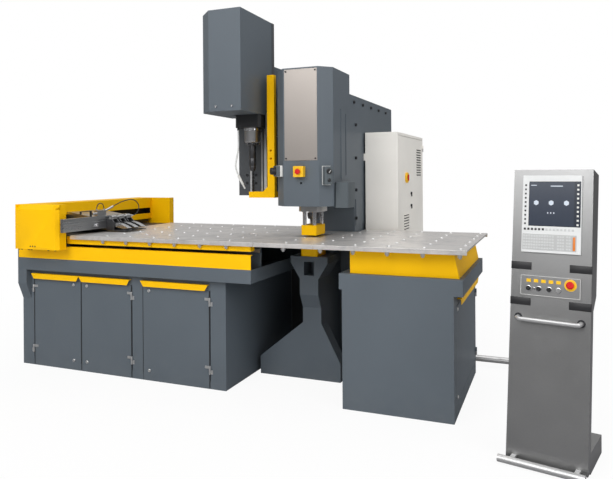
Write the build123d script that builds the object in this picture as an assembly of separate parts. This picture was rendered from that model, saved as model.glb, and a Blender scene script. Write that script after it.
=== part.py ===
from build123d import *
from math import cos, pi, radians, sin, sqrt, tan
import os

# Millimetres: X runs right along the front, Y runs to the back, Z is up.
# The origin is on the floor, straight below the punch.

# Clearances and cuts
running_gap = 0.3
fit_gap = 0.3
overrun = 5.0
sheet_wall = 4.0

# Press frame
table_height = 1100.0
frame_half = 200.0
throat_depth = 430.0
column_depth = 1240.0
frame_height = 2222.0
frame_reach = 150.0
punch_daylight = 245.0
throat_round = 60.0
jaw_half = 75.0
die_bed_drop = 150.0
nose_reach = 100.0
neck_reach = 40.0
nose_height = 290.0
nose_slope = 107.0
bed_half = 150.0
bed_thick = 50.0
bed_flare = 170.0
bed_rear = 150.0
base_left = 441.0
base_right = 228.0
base_height = 140.0
flare_top = 435.0
flare_thick = 120.0
base_plate_thick = 25.0
anchor_flange = 90.0
anchor_inset = 120.0
anchor_radius = 13.0
slug_radius = 30.0
window_half = 41.0
window_drop = 143.0
window_height = 104.0
window_depth = 150.0
bore_radius = 85.0
bore_crown = 322.0
frame_cover_thick = 6.0
frame_cover_inset = 20.0
frame_cover_lift = 50.0

# Press head
head_half = 225.0
head_front = 243.0
head_rear = 234.0
head_chamfer = 85.0
head_drop = 8.0
head_rise = 142.0
plaque_half = 130.0
plaque_lift = 340.0
plaque_top_gap = 11.0
plaque_thick = 3.0
slot_plate_front = 10.0
slot_plate_width = 205.0
slot_plate_lift = 195.0
slot_plate_top_gap = 292.0
slot_plate_thick = 5.0
head_slot_width = 26.0
head_slot_margin = 30.0
head_port_radius = 8.0
head_port_lift = 173.0
stop_box_x = -4.0
stop_box_lift = 258.0
stop_box_width = 78.0
stop_box_height = 80.0
stop_box_depth = 48.0
stop_cap_radius = 20.0
stop_cap_thick = 16.0
stop_stem_radius = 11.0
stop_stem_length = 14.0
cap_shoulder_share = 0.6
cap_crown_share = 0.75
stop_travel = 6.0
socket_box_width = 80.0
socket_box_height = 78.0
socket_box_depth = 46.0
socket_box_lift = 263.0
switch_box_width = 62.0
switch_box_height = 134.0
switch_box_depth = 52.0
switch_box_lift = 228.0
limit_box_width = 104.0
limit_box_depth = 180.0
limit_box_height = 190.0
limit_box_rear = 40.0
limit_box_drop = 11.0

# Punch tooling
flange_half = 92.0
flange_thick = 55.0
ram_radius = 35.0
ram_guide_share = 0.36
nut_radius = 46.0
nut_drop = 10.0
nut_height = 48.0
nut_collar_share = 0.45
nut_lead_share = 0.8
punch_radius = 15.0
punch_shank_radius = 24.0
punch_shank_share = 0.3
tip_inset = 10.0
stripper_half = 62.0
stripper_depth = 100.0
stripper_height = 76.0
stripper_gap = 12.0
stripper_bore_gap = 3.0
stripper_chamfer = 8.0
post_radius = 15.0
post_inset = 22.0
die_radius = 42.0
die_height = 48.0
die_sink = 2.0
die_gap = 0.6
die_relief = 4.0
die_land_share = 0.3
holder_half = 68.0
holder_depth = 95.0

# Table plates and ball units
plate_thick = 12.0
plate_lip = 30.0
lip_thick = 6.0
table_front = 590.0
middle_half = 225.0
plate_split = 2.0
left_plate_length = 1625.0
right_plate_length = 1010.0
right_plate_rear = 620.0
middle_rear_gap = 15.0
splice_half = 300.0
splice_width = 40.0
splice_thick = 20.0
splice_front = 450.0
splice_rear = 300.0
drill_hole_radius = 36.0
ball_pitch = 220.0
ball_margin = 70.0
ball_side_margin = 45.0
ball_left_margin = 310.0
ball_right_margin = 219.0
ball_collar_radius = 16.0
ball_collar_height = 2.0
ball_radius = 11.0
ball_flat_radius = 5.0
ball_proud = 6.0
ball_sides = 6
ball_nut_radius = 11.0
ball_nut_height = 30.0
ball_nut_sides = 6

# Left cabinet, tray and aprons
left_cabinet_inset = 233.0
cabinet_front = 507.0
cabinet_depth = 1227.0
tray_drop = 300.0
tray_height = 100.0
tray_width = 2181.0
tray_frame_gap = 57.0
end_plate = 10.0
tray_overhang = 53.0
apron_height = 105.0
apron_return = 30.0
slot_height = 25.0
strip_depth = 60.0
strip_lead = 60.0
bearer_inset = 180.0
bearer_thick = 20.0
bearer_end_gap = 12.0
left_post = 123.0
small_door = 496.0
mid_post = 103.0
right_post = 132.0
door_bottom = 60.0
door_head = 80.0
door_gap = 3.0
door_thick = 20.0
door_sheet = 3.0
lip_drop = 44.0
lip_top_gap = 32.0
lip_lean = 30.0
lip_sheet = 4.0
lip_end_slope = 28.0
lip_end_gap = 4.0
cheek_drop = 117.0
cheek_slope = 130.0
cheek_gap = 30.0
hinge_radius = 7.0
hinge_height = 60.0
hinge_leaf = 22.0
hinge_leaf_thick = 3.0
hinge_inset = 50.0

# Rails, feed beam and clamps
rail_width = 24.0
rail_depth = 20.0
beam_width = 216.0
beam_inset = 124.0
beam_lift = 40.0
beam_height = 209.0
beam_guard_gap = 9.0
beam_guard_thick = 8.0
beam_guard_inset = 30.0
beam_box_width = 436.0
beam_box_depth = 95.0
beam_box_hang = 149.0
beam_box_gap = 15.0
beam_box_chamfer = 24.0
beam_box_bevel = 40.0
drain_radius = 6.0
drain_depth = 30.0
drain_count = 3
drain_pitch = 24.0
drain_start = 159.0
drain_lift = 24.0
beam_slot_height = 56.0
beam_slot_lift = 54.0
beam_slot_depth = 60.0
beam_slot_inset = 20.0
saddle_inset = 18.0
saddle_thick = 15.0
saddle_block_depth = 55.0
saddle_block_height = 64.0
carriage_length = 400.0
carriage_front = 360.0
carriage_height = 95.0
clamp_bar_width = 30.0
clamp_bar_front = 716.0
clamp_bar_length = 790.0
clamp_bar_lift = 33.0
clamp_bar_height = 105.0
bar_pass_gap = 48.0
bar_groove = 14.0
bar_groove_depth = 8.0
clamp_pitch = 95.0
clamp_first = 186.0
clamp_width = 76.0
clamp_body_length = 80.0
clamp_body_rise = 106.0
jaw_reach = 133.0
lower_jaw_lift = 10.0
lower_jaw_thick = 8.0
mouth_gap = 12.0
jaw_thick = 20.0
jaw_crown = 34.0
jaw_width = 52.0
jaw_pivot_radius = 8.0
jaw_pivot_lift = 68.0
jaw_heel = 22.0
jaw_slot_gap = 1.5
air_cylinder_radius = 16.0
air_cylinder_length = 64.0
air_pipe_radius = 10.0
air_pipe_lead = 20.0
fitting_radius = 9.0
fitting_length = 22.0
air_hose_radius = 4.0
hose_sides = 8
bend_share = 0.45
arch_turns = 5
arch_rise = 29.0
valve_offset = 92.0
valve_length = 110.0
valve_height = 46.0
valve_port_inset = 10.0
loop_points = (
    (0.0, 0.0, 0.0),
    (0.0, 50.0, 0.0),
    (0.0, 96.0, 26.0),
    (0.0, 118.0, 74.0),
    (-12.0, 96.0, 122.0),
    (-28.0, 44.0, 144.0),
    (-42.0, -16.0, 134.0),
    (-52.0, -72.0, 122.0),
    (-55.0, -126.0, 104.0),
    (-55.0, -176.0, 88.0),
)

# Drill unit
drill_x = -519.0
column_front = 120.0
column_thick = 40.0
column_left = 190.0
column_right = 123.0
column_lift = 304.0
housing_left = 271.0
housing_right = 119.0
housing_front = 424.0
housing_lift = 100.0
housing_height = 760.0
housing_chamfer = 120.0
housing_floor_gap = 14.0
bracket_lift = 6.0
bracket_height = 1050.0
bracket_thick = 40.0
bracket_rear = 330.0
drill_rail_offset = 63.0
drill_rail_lift = 16.0
drill_rail_length = 1230.0
carriage_half = 100.0
carriage_plate_front = 55.0
carriage_plate_thick = 20.0
drill_carriage_lift = 850.0
drill_carriage_height = 400.0
bearing_half = 28.0
bearing_height = 90.0
mount_half = 112.0
mount_reach = 95.0
mount_height = 129.0
nose_radius = 66.0
nose_drop = 118.0
nose_collar_radius = 48.0
nose_collar_drop = 20.0
motor_half = 62.0
motor_height = 400.0
motor_rib_count = 5
motor_rib_depth = 8.0
chuck_socket_depth = 40.0
chuck_stub_radius = 20.0
chuck_radius = 28.0
chuck_length = 208.0
chuck_tip_radius = 18.0
chuck_taper_share = 0.2
bit_radius = 9.0
bit_length = 169.0
bit_point_share = 0.04
presser_leg_offset = 158.0
presser_leg_width = 61.0
presser_front = 60.0
presser_leg_thick = 40.0
presser_lift = 293.0
presser_height = 963.0
presser_foot_left = -6.0
presser_foot_thick = 47.0
presser_fork_radius = 45.0
presser_gusset = 40.0
presser_bolt_radius = 9.0
presser_bolt_pitch = 64.0
presser_bolt_rise = 307.0
presser_guide_rise = 487.0
presser_guide_height = 180.0
hose_radius = 6.0
hose_stub_radius = 9.0
coolant_points = (
    (-98.0, -60.0, -20.0),
    (-98.0, -60.0, -60.0),
    (-94.0, -64.0, -110.0),
    (-92.0, -70.0, -164.0),
    (-100.0, -76.0, -220.0),
    (-112.0, -80.0, -276.0),
    (-114.0, -78.0, -334.0),
    (-92.0, -66.0, -386.0),
)
nozzle_length = 112.0
nozzle_tip_radius = 3.0

# Right cabinet and riser
right_body_left = 407.0
right_body_width = 739.0
right_body_front = 526.0
right_body_depth = 1098.0
right_band_left = 21.0
right_band_right = 57.0
right_band_height = 108.0
right_door_bottom = 100.0
right_door_front = 440.0
right_door_width = 980.0
riser_inset_left = 69.0
riser_inset_right = 26.0
riser_inset_front = 35.0
riser_lean = 38.0

# Control cabinet
control_gap = 15.0
control_front = 670.0
control_width = 284.0
control_length = 1050.0
control_bottom = 500.0
control_height = 1430.0
control_rim = 28.0
control_strip = 60.0
control_strip_inset = 180.0
louvre_count = 7
louvre_pitch = 24.0
louvre_slot = 9.0
louvre_length = 190.0
upper_louvre_front = 760.0
upper_louvre_bottom = 1560.0
lower_louvre_front = 230.0
lower_louvre_bottom = 640.0
switch_reach_share = 0.3
main_switch_height = 1540.0
knob_radius = 26.0
knob_thick = 26.0
knob_grip_width = 14.0
knob_stem_radius = 9.0
knob_stem_length = 30.0
rack_plate_thick = 6.0
rack_margin = 60.0
drive_depth = 130.0
drive_count = 4
drive_height = 420.0
drive_gap = 24.0

# Hydraulic pack
motor_foot_share = 0.8
tank_door_inset = 87.5
tank_depth = 520.0
tank_height = 330.0
tank_front = 60.0
pump_motor_radius = 95.0
pump_motor_length = 300.0

# Console
console_x = 1682.0
console_y = -942.0
console_turn = -13.0
console_width = 420.0
console_height = 1590.0
console_lean = 205.0
console_shell = 66.0
console_head_depth = 150.0
console_head_bottom = 830.0
console_foot_depth = 380.0
console_foot_height = 110.0
console_foot_rear_height = 100.0
console_lift = 12.0
screen_width = 312.0
screen_height = 430.0
screen_bottom = 1128.0
screen_proud = 14.0
screen_recess = 5.0
glass_margin = 34.0
glass_share = 0.58
panel_bottom = 890.0
panel_height = 118.0
panel_width = 322.0
panel_thick = 3.0
button_radius = 12.0
button_thick = 12.0
button_stem_radius = 7.0
button_stem_length = 16.0
button_travel = 4.0
button_row_share = 0.36
button_shares = (0.15, 0.32, 0.49, 0.64)
console_stop_share = 0.83
grip_heights = (1053.5, 858.5)
grip_start = 100.0
grip_height = 42.0
grip_depth = 12.0
handle_height = 772.0
handle_radius = 12.0
handle_sides = 10
handle_reach = 52.0
handle_inset = 46.0
foot_bar_radius = 20.0
foot_bar_reach = 62.0
foot_bar_height = 26.0
foot_bar_overhang = 24.0
conduit_radius = 25.0
conduit_sides = 10
conduit_bend = 120.0
conduit_z = 56.0
conduit_rear = 783.0
conduit_lead = 260.0
conduit_nut_radius = 30.0
conduit_nut_length = 40.0

parts = {}


# Basic forms between named limits
def block(x, y, z):
    sizes = [high - low for low, high in (x, y, z)]
    return Pos(x[0], y[0], z[0]) * Box(*sizes, align=(Align.MIN, Align.MIN, Align.MIN))


def outline(points):
    return make_face(Polyline(*points, close=True))


def along_x(points, x):
    return extrude(Plane.YZ.offset(x[0]) * outline(points), amount=x[1] - x[0])


def along_y(points, y):
    return extrude(Plane.XZ.offset(-y[1]) * outline(points), amount=y[1] - y[0])


def along_z(points, z):
    return extrude(Plane.XY.offset(z[0]) * outline(points), amount=z[1] - z[0])


def rod(start, direction, radius, length):
    return extrude(Plane(start, z_dir=direction) * Circle(radius), amount=length)


def rod_z(x, y, radius, z):
    return rod((x, y, z[0]), (0, 0, 1), radius, z[1] - z[0])


def turned(points, x, y):
    return Pos(x, y, 0) * revolve(Plane.XZ * outline(points), Axis.Z)


def rect_pan(x, y, z, wall, open_side):
    inner = [[low + wall, high - wall] for low, high in (x, y, z)]
    axis, end = open_side
    inner[axis][end] += overrun * (2 * end - 1) + wall * (2 * end - 1)
    return block(x, y, z) - block(*inner)


# Places that several pieces share
drill_carriage_bottom = table_height + drill_carriage_lift
column_y = (column_front, column_front + column_thick)
column_bottom = table_height + column_lift
bracket_bottom = column_bottom + bracket_lift
presser_bottom = table_height + presser_lift
housing_bottom = drill_carriage_bottom + housing_lift
housing_top = housing_bottom + housing_height
collar_top = drill_carriage_bottom - nose_drop
collar_bottom = collar_top - nose_collar_drop
frame_back = throat_depth + column_depth
jaw_underside = table_height + punch_daylight
bore_top = frame_height - bore_crown
ram_top = jaw_underside + (bore_top - jaw_underside) * ram_guide_share
die_bed = table_height - die_bed_drop
nose_bottom = die_bed - nose_height
window_bottom = die_bed - window_drop
frame_cover_bottom = table_height + frame_cover_lift
plate_under = table_height - plate_thick
head_bottom = jaw_underside - head_drop
head_top = frame_height + head_rise
stop_box_z = head_bottom + stop_box_lift
flange_bottom = jaw_underside - flange_thick
stripper_bottom = table_height + stripper_gap
stripper_top = stripper_bottom + stripper_height
nut_top = flange_bottom - nut_drop
nut_bottom = nut_top - nut_height
punch_tip = stripper_bottom + tip_inset
die_top = table_height - die_sink
die_bottom = die_top - die_height
cover_face = frame_half + frame_cover_thick
cabinet_rear = cabinet_depth - cabinet_front
tray_bottom = table_height - tray_drop
tray_front = -cabinet_front - tray_overhang
tray_rear = cabinet_rear + tray_overhang
tray_top = tray_bottom + tray_height
tray_right = -frame_half - tray_frame_gap
left_x = tray_right - tray_width
slot_bottom = tray_top + apron_height
slot_top = slot_bottom + slot_height
table_middle = (tray_front + tray_rear) / 2
left_plate_rear = 2 * table_middle + table_front
left_plate_right = -middle_half - plate_split
left_plate_left = left_plate_right - left_plate_length
right_plate_left = middle_half + plate_split
right_plate_right = right_plate_left + right_plate_length


def across_table(shape):
    return mirror(shape, about=Plane.XZ.offset(-table_middle))


# Press frame: a deep C of box section on a flared pedestal
def press_frame():
    throat = [
        (throat_depth, 0),
        (frame_back, 0),
        (frame_back, frame_height),
        (-frame_reach, frame_height),
        (-frame_reach, jaw_underside),
        (throat_depth - throat_round, jaw_underside),
        (throat_depth, jaw_underside - throat_round),
    ]
    lower_jaw = [
        (-neck_reach, 0),
        (throat_depth, 0),
        (throat_depth, die_bed),
        (-nose_reach, die_bed),
        (-nose_reach, nose_bottom),
        (-neck_reach, nose_bottom - nose_slope),
    ]
    pedestal = [
        (-base_left, 0),
        (base_right, 0),
        (base_right, base_height),
        (jaw_half, flare_top),
        (-jaw_half, flare_top),
        (-base_left, base_height),
    ]
    bed = [
        (-bed_half, die_bed),
        (-bed_half, die_bed - bed_thick),
        (-jaw_half, die_bed - bed_flare),
        (jaw_half, die_bed - bed_flare),
        (bed_half, die_bed - bed_thick),
        (bed_half, die_bed),
    ]
    flange_x = frame_half + anchor_flange
    body = along_x(throat, (-frame_half, frame_half))
    body += along_x(lower_jaw, (-jaw_half, jaw_half))
    body += along_y(pedestal, (-neck_reach, flare_thick - neck_reach))
    body += along_y(bed, (-nose_reach, bed_rear))
    body += block((-flange_x, flange_x), (throat_depth, frame_back), (0, base_plate_thick))
    for side in (-1, 1):
        for y in (throat_depth + anchor_inset, frame_back - anchor_inset):
            x = side * (frame_half + anchor_flange / 2)
            body -= rod_z(x, y, anchor_radius, (-overrun, base_plate_thick + overrun))
    body -= rod_z(0, 0, slug_radius, (window_bottom, die_bed + overrun))
    body -= block(
        (-window_half, window_half),
        (-nose_reach - overrun, window_depth - nose_reach),
        (window_bottom, window_bottom + window_height),
    )
    body -= rod_z(0, 0, bore_radius, (jaw_underside - overrun, bore_top))
    return body


def frame_side_covers():
    plate = block(
        (frame_half, cover_face),
        (head_rear + frame_cover_inset, frame_back - frame_cover_inset),
        (frame_cover_bottom, frame_height - frame_cover_inset),
    )
    throat_clear = block(
        (frame_half - overrun, cover_face + overrun),
        (head_rear, throat_depth + frame_cover_inset),
        (frame_cover_bottom - overrun, jaw_underside + frame_cover_inset),
    )
    right = plate - throat_clear
    return [right, mirror(right, about=Plane.YZ), drill_bracket()]


# Bracket that carries the drill column on the left cover
def drill_bracket():
    outer = drill_x + column_right
    plan = [
        (outer - bracket_thick, column_y[1]),
        (outer, column_y[1]),
        (outer, bracket_rear - bracket_thick),
        (-cover_face, bracket_rear - bracket_thick),
        (-cover_face, bracket_rear),
        (outer - bracket_thick, bracket_rear),
    ]
    return along_z(plan, (bracket_bottom, bracket_bottom + bracket_height))


# Head cover: one folded sheet round the jaw, open below and behind
def head_plan(inset):
    half = head_half - inset
    front = head_front - inset
    chamfer = head_chamfer - inset * (2 - sqrt(2))
    rear = head_rear + (overrun if inset else 0)
    return [
        (-half, rear),
        (-half, chamfer - front),
        (chamfer - half, -front),
        (half - chamfer, -front),
        (half, chamfer - front),
        (half, rear),
    ]


def head_cover():
    shell = along_z(head_plan(0), (head_bottom, head_top))
    shell -= along_z(head_plan(sheet_wall), (head_bottom - overrun, head_top - sheet_wall))
    flange_y = (head_rear - sheet_wall, head_rear)
    flange = block((frame_half, head_half), flange_y, (head_bottom, head_top))
    back = block((-head_half, head_half), flange_y, (frame_height, head_top))
    shell += flange + mirror(flange, about=Plane.YZ) + back
    slot_y = slot_plate_front + slot_plate_width / 2
    slot_z = (head_bottom + slot_plate_lift, head_top - slot_plate_top_gap)
    tall = slot_z[1] - slot_z[0]
    side = Plane((head_half, slot_y, (slot_z[0] + slot_z[1]) / 2), x_dir=(0, 0, 1), z_dir=(1, 0, 0))
    shell += extrude(side * Rectangle(tall, slot_plate_width), amount=slot_plate_thick)
    slot = SlotOverall(tall - 2 * head_slot_margin, head_slot_width)
    shell -= extrude(side.offset(slot_plate_thick + overrun) * slot, amount=-slot_plate_thick - overrun)
    port = (0, -head_front - overrun, head_bottom + head_port_lift)
    return shell - rod(port, (0, 1, 0), head_port_radius, sheet_wall + 2 * overrun)


def head_plaque():
    plate = block(
        (-plaque_half, plaque_half),
        (-head_front - plaque_thick, -head_front),
        (head_bottom + plaque_lift, head_top - plaque_top_gap),
    )
    return chamfer(plate.edges().group_by(Axis.Y)[0], plaque_thick / 3)


def head_stop_box():
    half = stop_box_width / 2
    tall = stop_box_height / 2
    case = block(
        (stop_box_x - half, stop_box_x + half),
        (-head_front - stop_box_depth, -head_front),
        (stop_box_z - tall, stop_box_z + tall),
    )
    case = fillet(case.edges().filter_by(Axis.Y), stop_box_depth / 10)
    face = (stop_box_x, -head_front - stop_box_depth - overrun, stop_box_z)
    depth = stop_stem_length + stop_travel + 2 * overrun
    return case - rod(face, (0, 1, 0), stop_stem_radius + running_gap, depth)


def mushroom(cap_radius, cap_thick, stem_radius, stem_length, stand_off):
    profile = [
        (0, -stem_length),
        (stem_radius, -stem_length),
        (stem_radius, stand_off),
        (cap_radius, stand_off),
        (cap_radius, stand_off + cap_thick * cap_shoulder_share),
        (cap_radius * cap_crown_share, stand_off + cap_thick),
        (0, stand_off + cap_thick),
    ]
    return revolve(Plane.XZ * outline(profile), Axis.Z)


def head_stop_button():
    face = Plane((stop_box_x, -head_front - stop_box_depth, stop_box_z), z_dir=(0, -1, 0))
    stand_off = stop_travel + 2 * running_gap
    return face * mushroom(stop_cap_radius, stop_cap_thick, stop_stem_radius, stop_stem_length, stand_off)


# Boxes on the two chamfers of the head and beside the jaw
def head_junction_boxes():
    middle = head_half - head_chamfer / 2
    depth_y = -head_front + head_chamfer / 2
    boxes = []
    for side, width, tall, deep, lift in (
        (-1, socket_box_width, socket_box_height, socket_box_depth, socket_box_lift),
        (1, switch_box_width, switch_box_height, switch_box_depth, switch_box_lift),
    ):
        middle_z = head_bottom + lift
        seat = Plane((side * middle, depth_y, middle_z), x_dir=(1, side, 0), z_dir=(side, -1, 0))
        case = extrude(seat * Rectangle(width, tall), amount=deep)
        boxes.append(chamfer(case.edges().filter_by(Axis.Z), deep / 8))
    limit = block(
        (head_half, head_half + limit_box_width),
        (limit_box_rear - limit_box_depth, limit_box_rear),
        (head_bottom - limit_box_drop, head_bottom - limit_box_drop + limit_box_height),
    )
    boxes.append(chamfer(limit.edges().filter_by(Axis.Z), limit_box_width / 10))
    return boxes


# Press cylinder with its flange, ram, nut, punch and stripper
def press_cylinder():
    barrel = rod_z(0, 0, bore_radius - fit_gap, (jaw_underside, bore_top - fit_gap))
    flange = block((-flange_half, flange_half), (-flange_half, flange_half), (flange_bottom, jaw_underside))
    flange = chamfer(flange.edges().filter_by(Axis.Z), flange_thick / 2)
    guide_z = (flange_bottom - overrun, ram_top + overrun)
    return barrel + flange - rod_z(0, 0, ram_radius + running_gap, guide_z)


def punch_ram():
    return rod_z(0, 0, ram_radius, (nut_top, ram_top))


def punch_nut():
    collar = nut_bottom + nut_height * nut_collar_share
    profile = [
        (punch_shank_radius, nut_bottom),
        (nut_radius * nut_lead_share, nut_bottom),
        (nut_radius, collar),
        (nut_radius, nut_top),
        (0, nut_top),
        (0, collar),
        (punch_shank_radius, collar),
    ]
    return turned(profile, 0, 0)


def punch():
    collar = nut_bottom + nut_height * nut_collar_share
    shank_end = nut_bottom - (nut_bottom - punch_tip) * punch_shank_share
    profile = [
        (0, punch_tip),
        (punch_radius, punch_tip),
        (punch_radius, shank_end),
        (punch_shank_radius, nut_bottom),
        (punch_shank_radius, collar),
        (0, collar),
    ]
    return turned(profile, 0, 0)


def stripper_block():
    body = block(
        (-stripper_half, stripper_half),
        (-stripper_depth, stripper_depth),
        (stripper_bottom, stripper_top),
    )
    body = chamfer(body.edges().filter_by(Axis.Z), stripper_chamfer)
    bore = punch_shank_radius + stripper_bore_gap
    return body - rod_z(0, 0, bore, (stripper_bottom - overrun, stripper_top + overrun))


def stripper_posts():
    x = stripper_half - post_inset
    y = stripper_depth - post_inset
    return [
        rod_z(side * x, end * y, post_radius, (stripper_top, flange_bottom))
        for side in (-1, 1)
        for end in (-1, 1)
    ]


def die_holder():
    body = block((-holder_half, holder_half), (-holder_depth, holder_depth), (die_bed, die_bottom))
    body = chamfer(body.edges().filter_by(Axis.Z), stripper_chamfer)
    return body - rod_z(0, 0, slug_radius, (die_bed - overrun, die_bottom + overrun))


def die():
    bore = punch_radius + die_gap
    land = die_top - die_height * die_land_share
    profile = [
        (bore + die_relief, die_bottom),
        (die_radius, die_bottom),
        (die_radius, die_top),
        (bore, die_top),
        (bore, land),
        (bore + die_relief, land),
    ]
    return turned(profile, 0, 0)


# Table: three plates with turned-down edges, ball units set in rows
def lipped_plate(x, y, lips):
    plate = block(x, y, (plate_under, table_height))
    for edge, inward in lips:
        band = sorted((edge, edge + inward * lip_thick))
        plate += block(x, band, (table_height - plate_lip, table_height))
    return plate


def table_plates():
    left = lipped_plate(
        (left_plate_left, left_plate_right),
        (-table_front, left_plate_rear),
        ((-table_front, 1), (left_plate_rear, -1)),
    )
    left -= rod_z(drill_x, 0, drill_hole_radius, (plate_under - overrun, table_height + overrun))
    middle_rear = throat_depth - middle_rear_gap
    middle = lipped_plate((-middle_half, middle_half), (-table_front, middle_rear), ((-table_front, 1),))
    for y in (-splice_front, splice_rear):
        middle += block(
            (-splice_half, splice_half),
            (y - splice_width / 2, y + splice_width / 2),
            (plate_under - splice_thick, plate_under),
        )
    middle -= rod_z(0, 0, die_radius + fit_gap, (plate_under - overrun, table_height + overrun))
    right = lipped_plate(
        (right_plate_left, right_plate_right),
        (-table_front, right_plate_rear),
        ((-table_front, 1), (right_plate_rear, -1)),
    )
    return [left, middle, right]


def even_places(start, end, pitch):
    count = max(1, round((end - start) / pitch))
    return [start + (end - start) * n / count for n in range(count + 1)]


def ball_units():
    collar = Plane.XY.offset(table_height) * RegularPolygon(ball_collar_radius, ball_sides)
    ball = [
        Plane.XY.offset(table_height + ball_collar_height) * RegularPolygon(ball_radius, ball_sides),
        Plane.XY.offset(table_height + ball_proud) * RegularPolygon(ball_flat_radius, ball_sides),
    ]
    unit = extrude(collar, amount=ball_collar_height) + loft(ball, ruled=True)
    nut = extrude(
        Plane.XY.offset(plate_under) * RegularPolygon(ball_nut_radius, ball_nut_sides),
        amount=-ball_nut_height,
    )
    first = -table_front + ball_margin
    rows = [(0, y) for y in even_places(first, -stripper_depth - ball_margin, ball_pitch)]
    for start, end, rear in (
        (left_plate_left + ball_left_margin, left_plate_right - ball_right_margin, left_plate_rear),
        (right_plate_left + ball_side_margin, right_plate_right - ball_side_margin, right_plate_rear),
    ):
        columns = even_places(start, end, ball_pitch)
        rows += [(x, y) for x in columns for y in even_places(first, rear - ball_margin, ball_pitch)]
    clear = drill_hole_radius + ball_collar_radius
    rows = [(x, y) for x, y in rows if (x - drill_x) ** 2 + y**2 > clear**2]
    nut_y = (lip_thick - table_front + tray_front) / 2
    units = [Pos(x, y, 0) * unit for x, y in rows]
    return units + [Pos(x, nut_y, 0) * nut for x, y in rows if y == first]


# Left table: hollow cabinet, doors, tray, aprons
left_right = tray_right - left_cabinet_inset
door_a = (left_x + left_post, left_x + left_post + small_door)
door_b = (door_a[1] + door_gap, door_a[1] + door_gap + small_door)
door_c = (door_b[1] + mid_post, left_right - right_post)
door_z = (door_bottom, tray_bottom - door_head)


def left_cabinet():
    x = (left_x, left_right)
    y = (-cabinet_front, cabinet_rear)
    z = (0, tray_bottom)
    body = block(x, y, z) - inside(x, y, z)
    opening_z = (door_z[0] - door_gap, door_z[1] + door_gap)
    opening_y = (-cabinet_front - overrun, -cabinet_front + sheet_wall + overrun)
    for low, high in ((door_a[0], door_b[1]), door_c):
        body -= block((low - door_gap, high + door_gap), opening_y, opening_z)
    wall_x = (door_b[1] + door_c[0]) / 2
    body += block((wall_x - sheet_wall / 2, wall_x + sheet_wall / 2), (-cabinet_front, cabinet_rear), z)
    cheek = [
        (-cabinet_front, tray_bottom - cheek_drop - cheek_slope),
        (tray_front, tray_bottom - cheek_drop),
        (tray_front, tray_bottom),
        (-cabinet_front, tray_bottom),
    ]
    return body + along_x(cheek, (left_x, door_a[0] - cheek_gap))


def hinge_places(z):
    return (z[0] + hinge_inset, z[1] - hinge_inset - hinge_height)


# One barrel half and its leaf: side -1 lies to the left of the pin, 1 to the right
def barrel_half(side, upper):
    low = hinge_height / 2 + running_gap if upper else 0
    high = hinge_height if upper else hinge_height / 2
    barrel = rod_z(0, -hinge_radius - running_gap, hinge_radius, (low, high))
    leaf = block(sorted((0, side * hinge_leaf)), (-hinge_leaf_thick, 0), (low, high))
    return barrel + leaf


def left_door(span, hinge_side):
    y = (-cabinet_front, -cabinet_front + door_thick)
    panel = rect_pan(span, y, door_z, door_sheet, (1, 1))
    pin_x = span[0] if hinge_side < 0 else span[1]
    for z in hinge_places(door_z):
        panel += Pos(pin_x, -cabinet_front, z) * barrel_half(-hinge_side, True)
    return panel


def door_lips():
    top = tray_bottom - lip_top_gap
    length = sqrt(lip_lean**2 + lip_drop**2)

    def lip(span):
        low, high = span[0] + lip_end_gap, span[1] - lip_end_gap
        sheet = Plane((0, 0, top), x_dir=(1, 0, 0), z_dir=(0, -lip_drop, lip_lean))
        shape = outline(
            [(low, 0), (high, 0), (high - lip_end_slope, -length), (low + lip_end_slope, -length)]
        )
        seat = block((low, high), (-lip_sheet, 0), (top - 2 * lip_sheet, top))
        behind = block((low, high), (-lip_lean - overrun, 0), (top - lip_drop - overrun, top))
        return (extrude(sheet * shape, amount=-lip_sheet) & behind) + seat

    lips = [Pos(0, -cabinet_front, 0) * lip(span) for span in (door_a, door_b, door_c)]
    turned_lip = Rot(0, 0, 90) * lip((-right_door_front, right_door_width - right_door_front))
    return lips + [Pos(right_side, 0, 0) * turned_lip]


def hinge_barrels():
    lower = []
    for span, side in ((door_a, -1), (door_b, 1), (door_c, 1)):
        pin_x = span[0] if side < 0 else span[1]
        lower += [Pos(pin_x, -cabinet_front, z) * barrel_half(side, False) for z in hinge_places(door_z)]
    for z in hinge_places(right_door_z):
        lower.append(Pos(right_side, right_door_rear, z) * Rot(0, 0, 90) * barrel_half(1, False))
    for z in hinge_places(control_door_z):
        lower.append(Pos(control_face, control_door_y[1], z) * Rot(0, 0, 90) * barrel_half(1, False))
    return lower


def left_tray():
    x = (left_x, tray_right)
    pan = rect_pan(x, (tray_front, tray_rear), (tray_bottom, tray_top), sheet_wall, (2, 1))
    pan += block((left_x, left_x + end_plate), (tray_front, tray_rear), (tray_bottom, slot_bottom))
    bearer = block(
        (left_x + end_plate, tray_right - bearer_end_gap),
        (tray_front + bearer_inset, tray_front + bearer_inset + bearer_thick),
        (tray_bottom, plate_under),
    )
    return pan + bearer + across_table(bearer)


def table_aprons():
    section = [
        (tray_front, tray_top),
        (tray_front, slot_bottom),
        (tray_front + apron_return, slot_bottom),
        (tray_front + apron_return, slot_bottom - sheet_wall),
        (tray_front + sheet_wall, slot_bottom - sheet_wall),
        (tray_front + sheet_wall, tray_top),
    ]
    apron = along_x(section, (left_x + end_plate, tray_right))
    strip = block(
        (left_plate_left - strip_lead, tray_right),
        (tray_front, tray_front + strip_depth),
        (slot_top, plate_under),
    )
    return [apron, strip, across_table(apron), across_table(strip), riser()]


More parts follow.
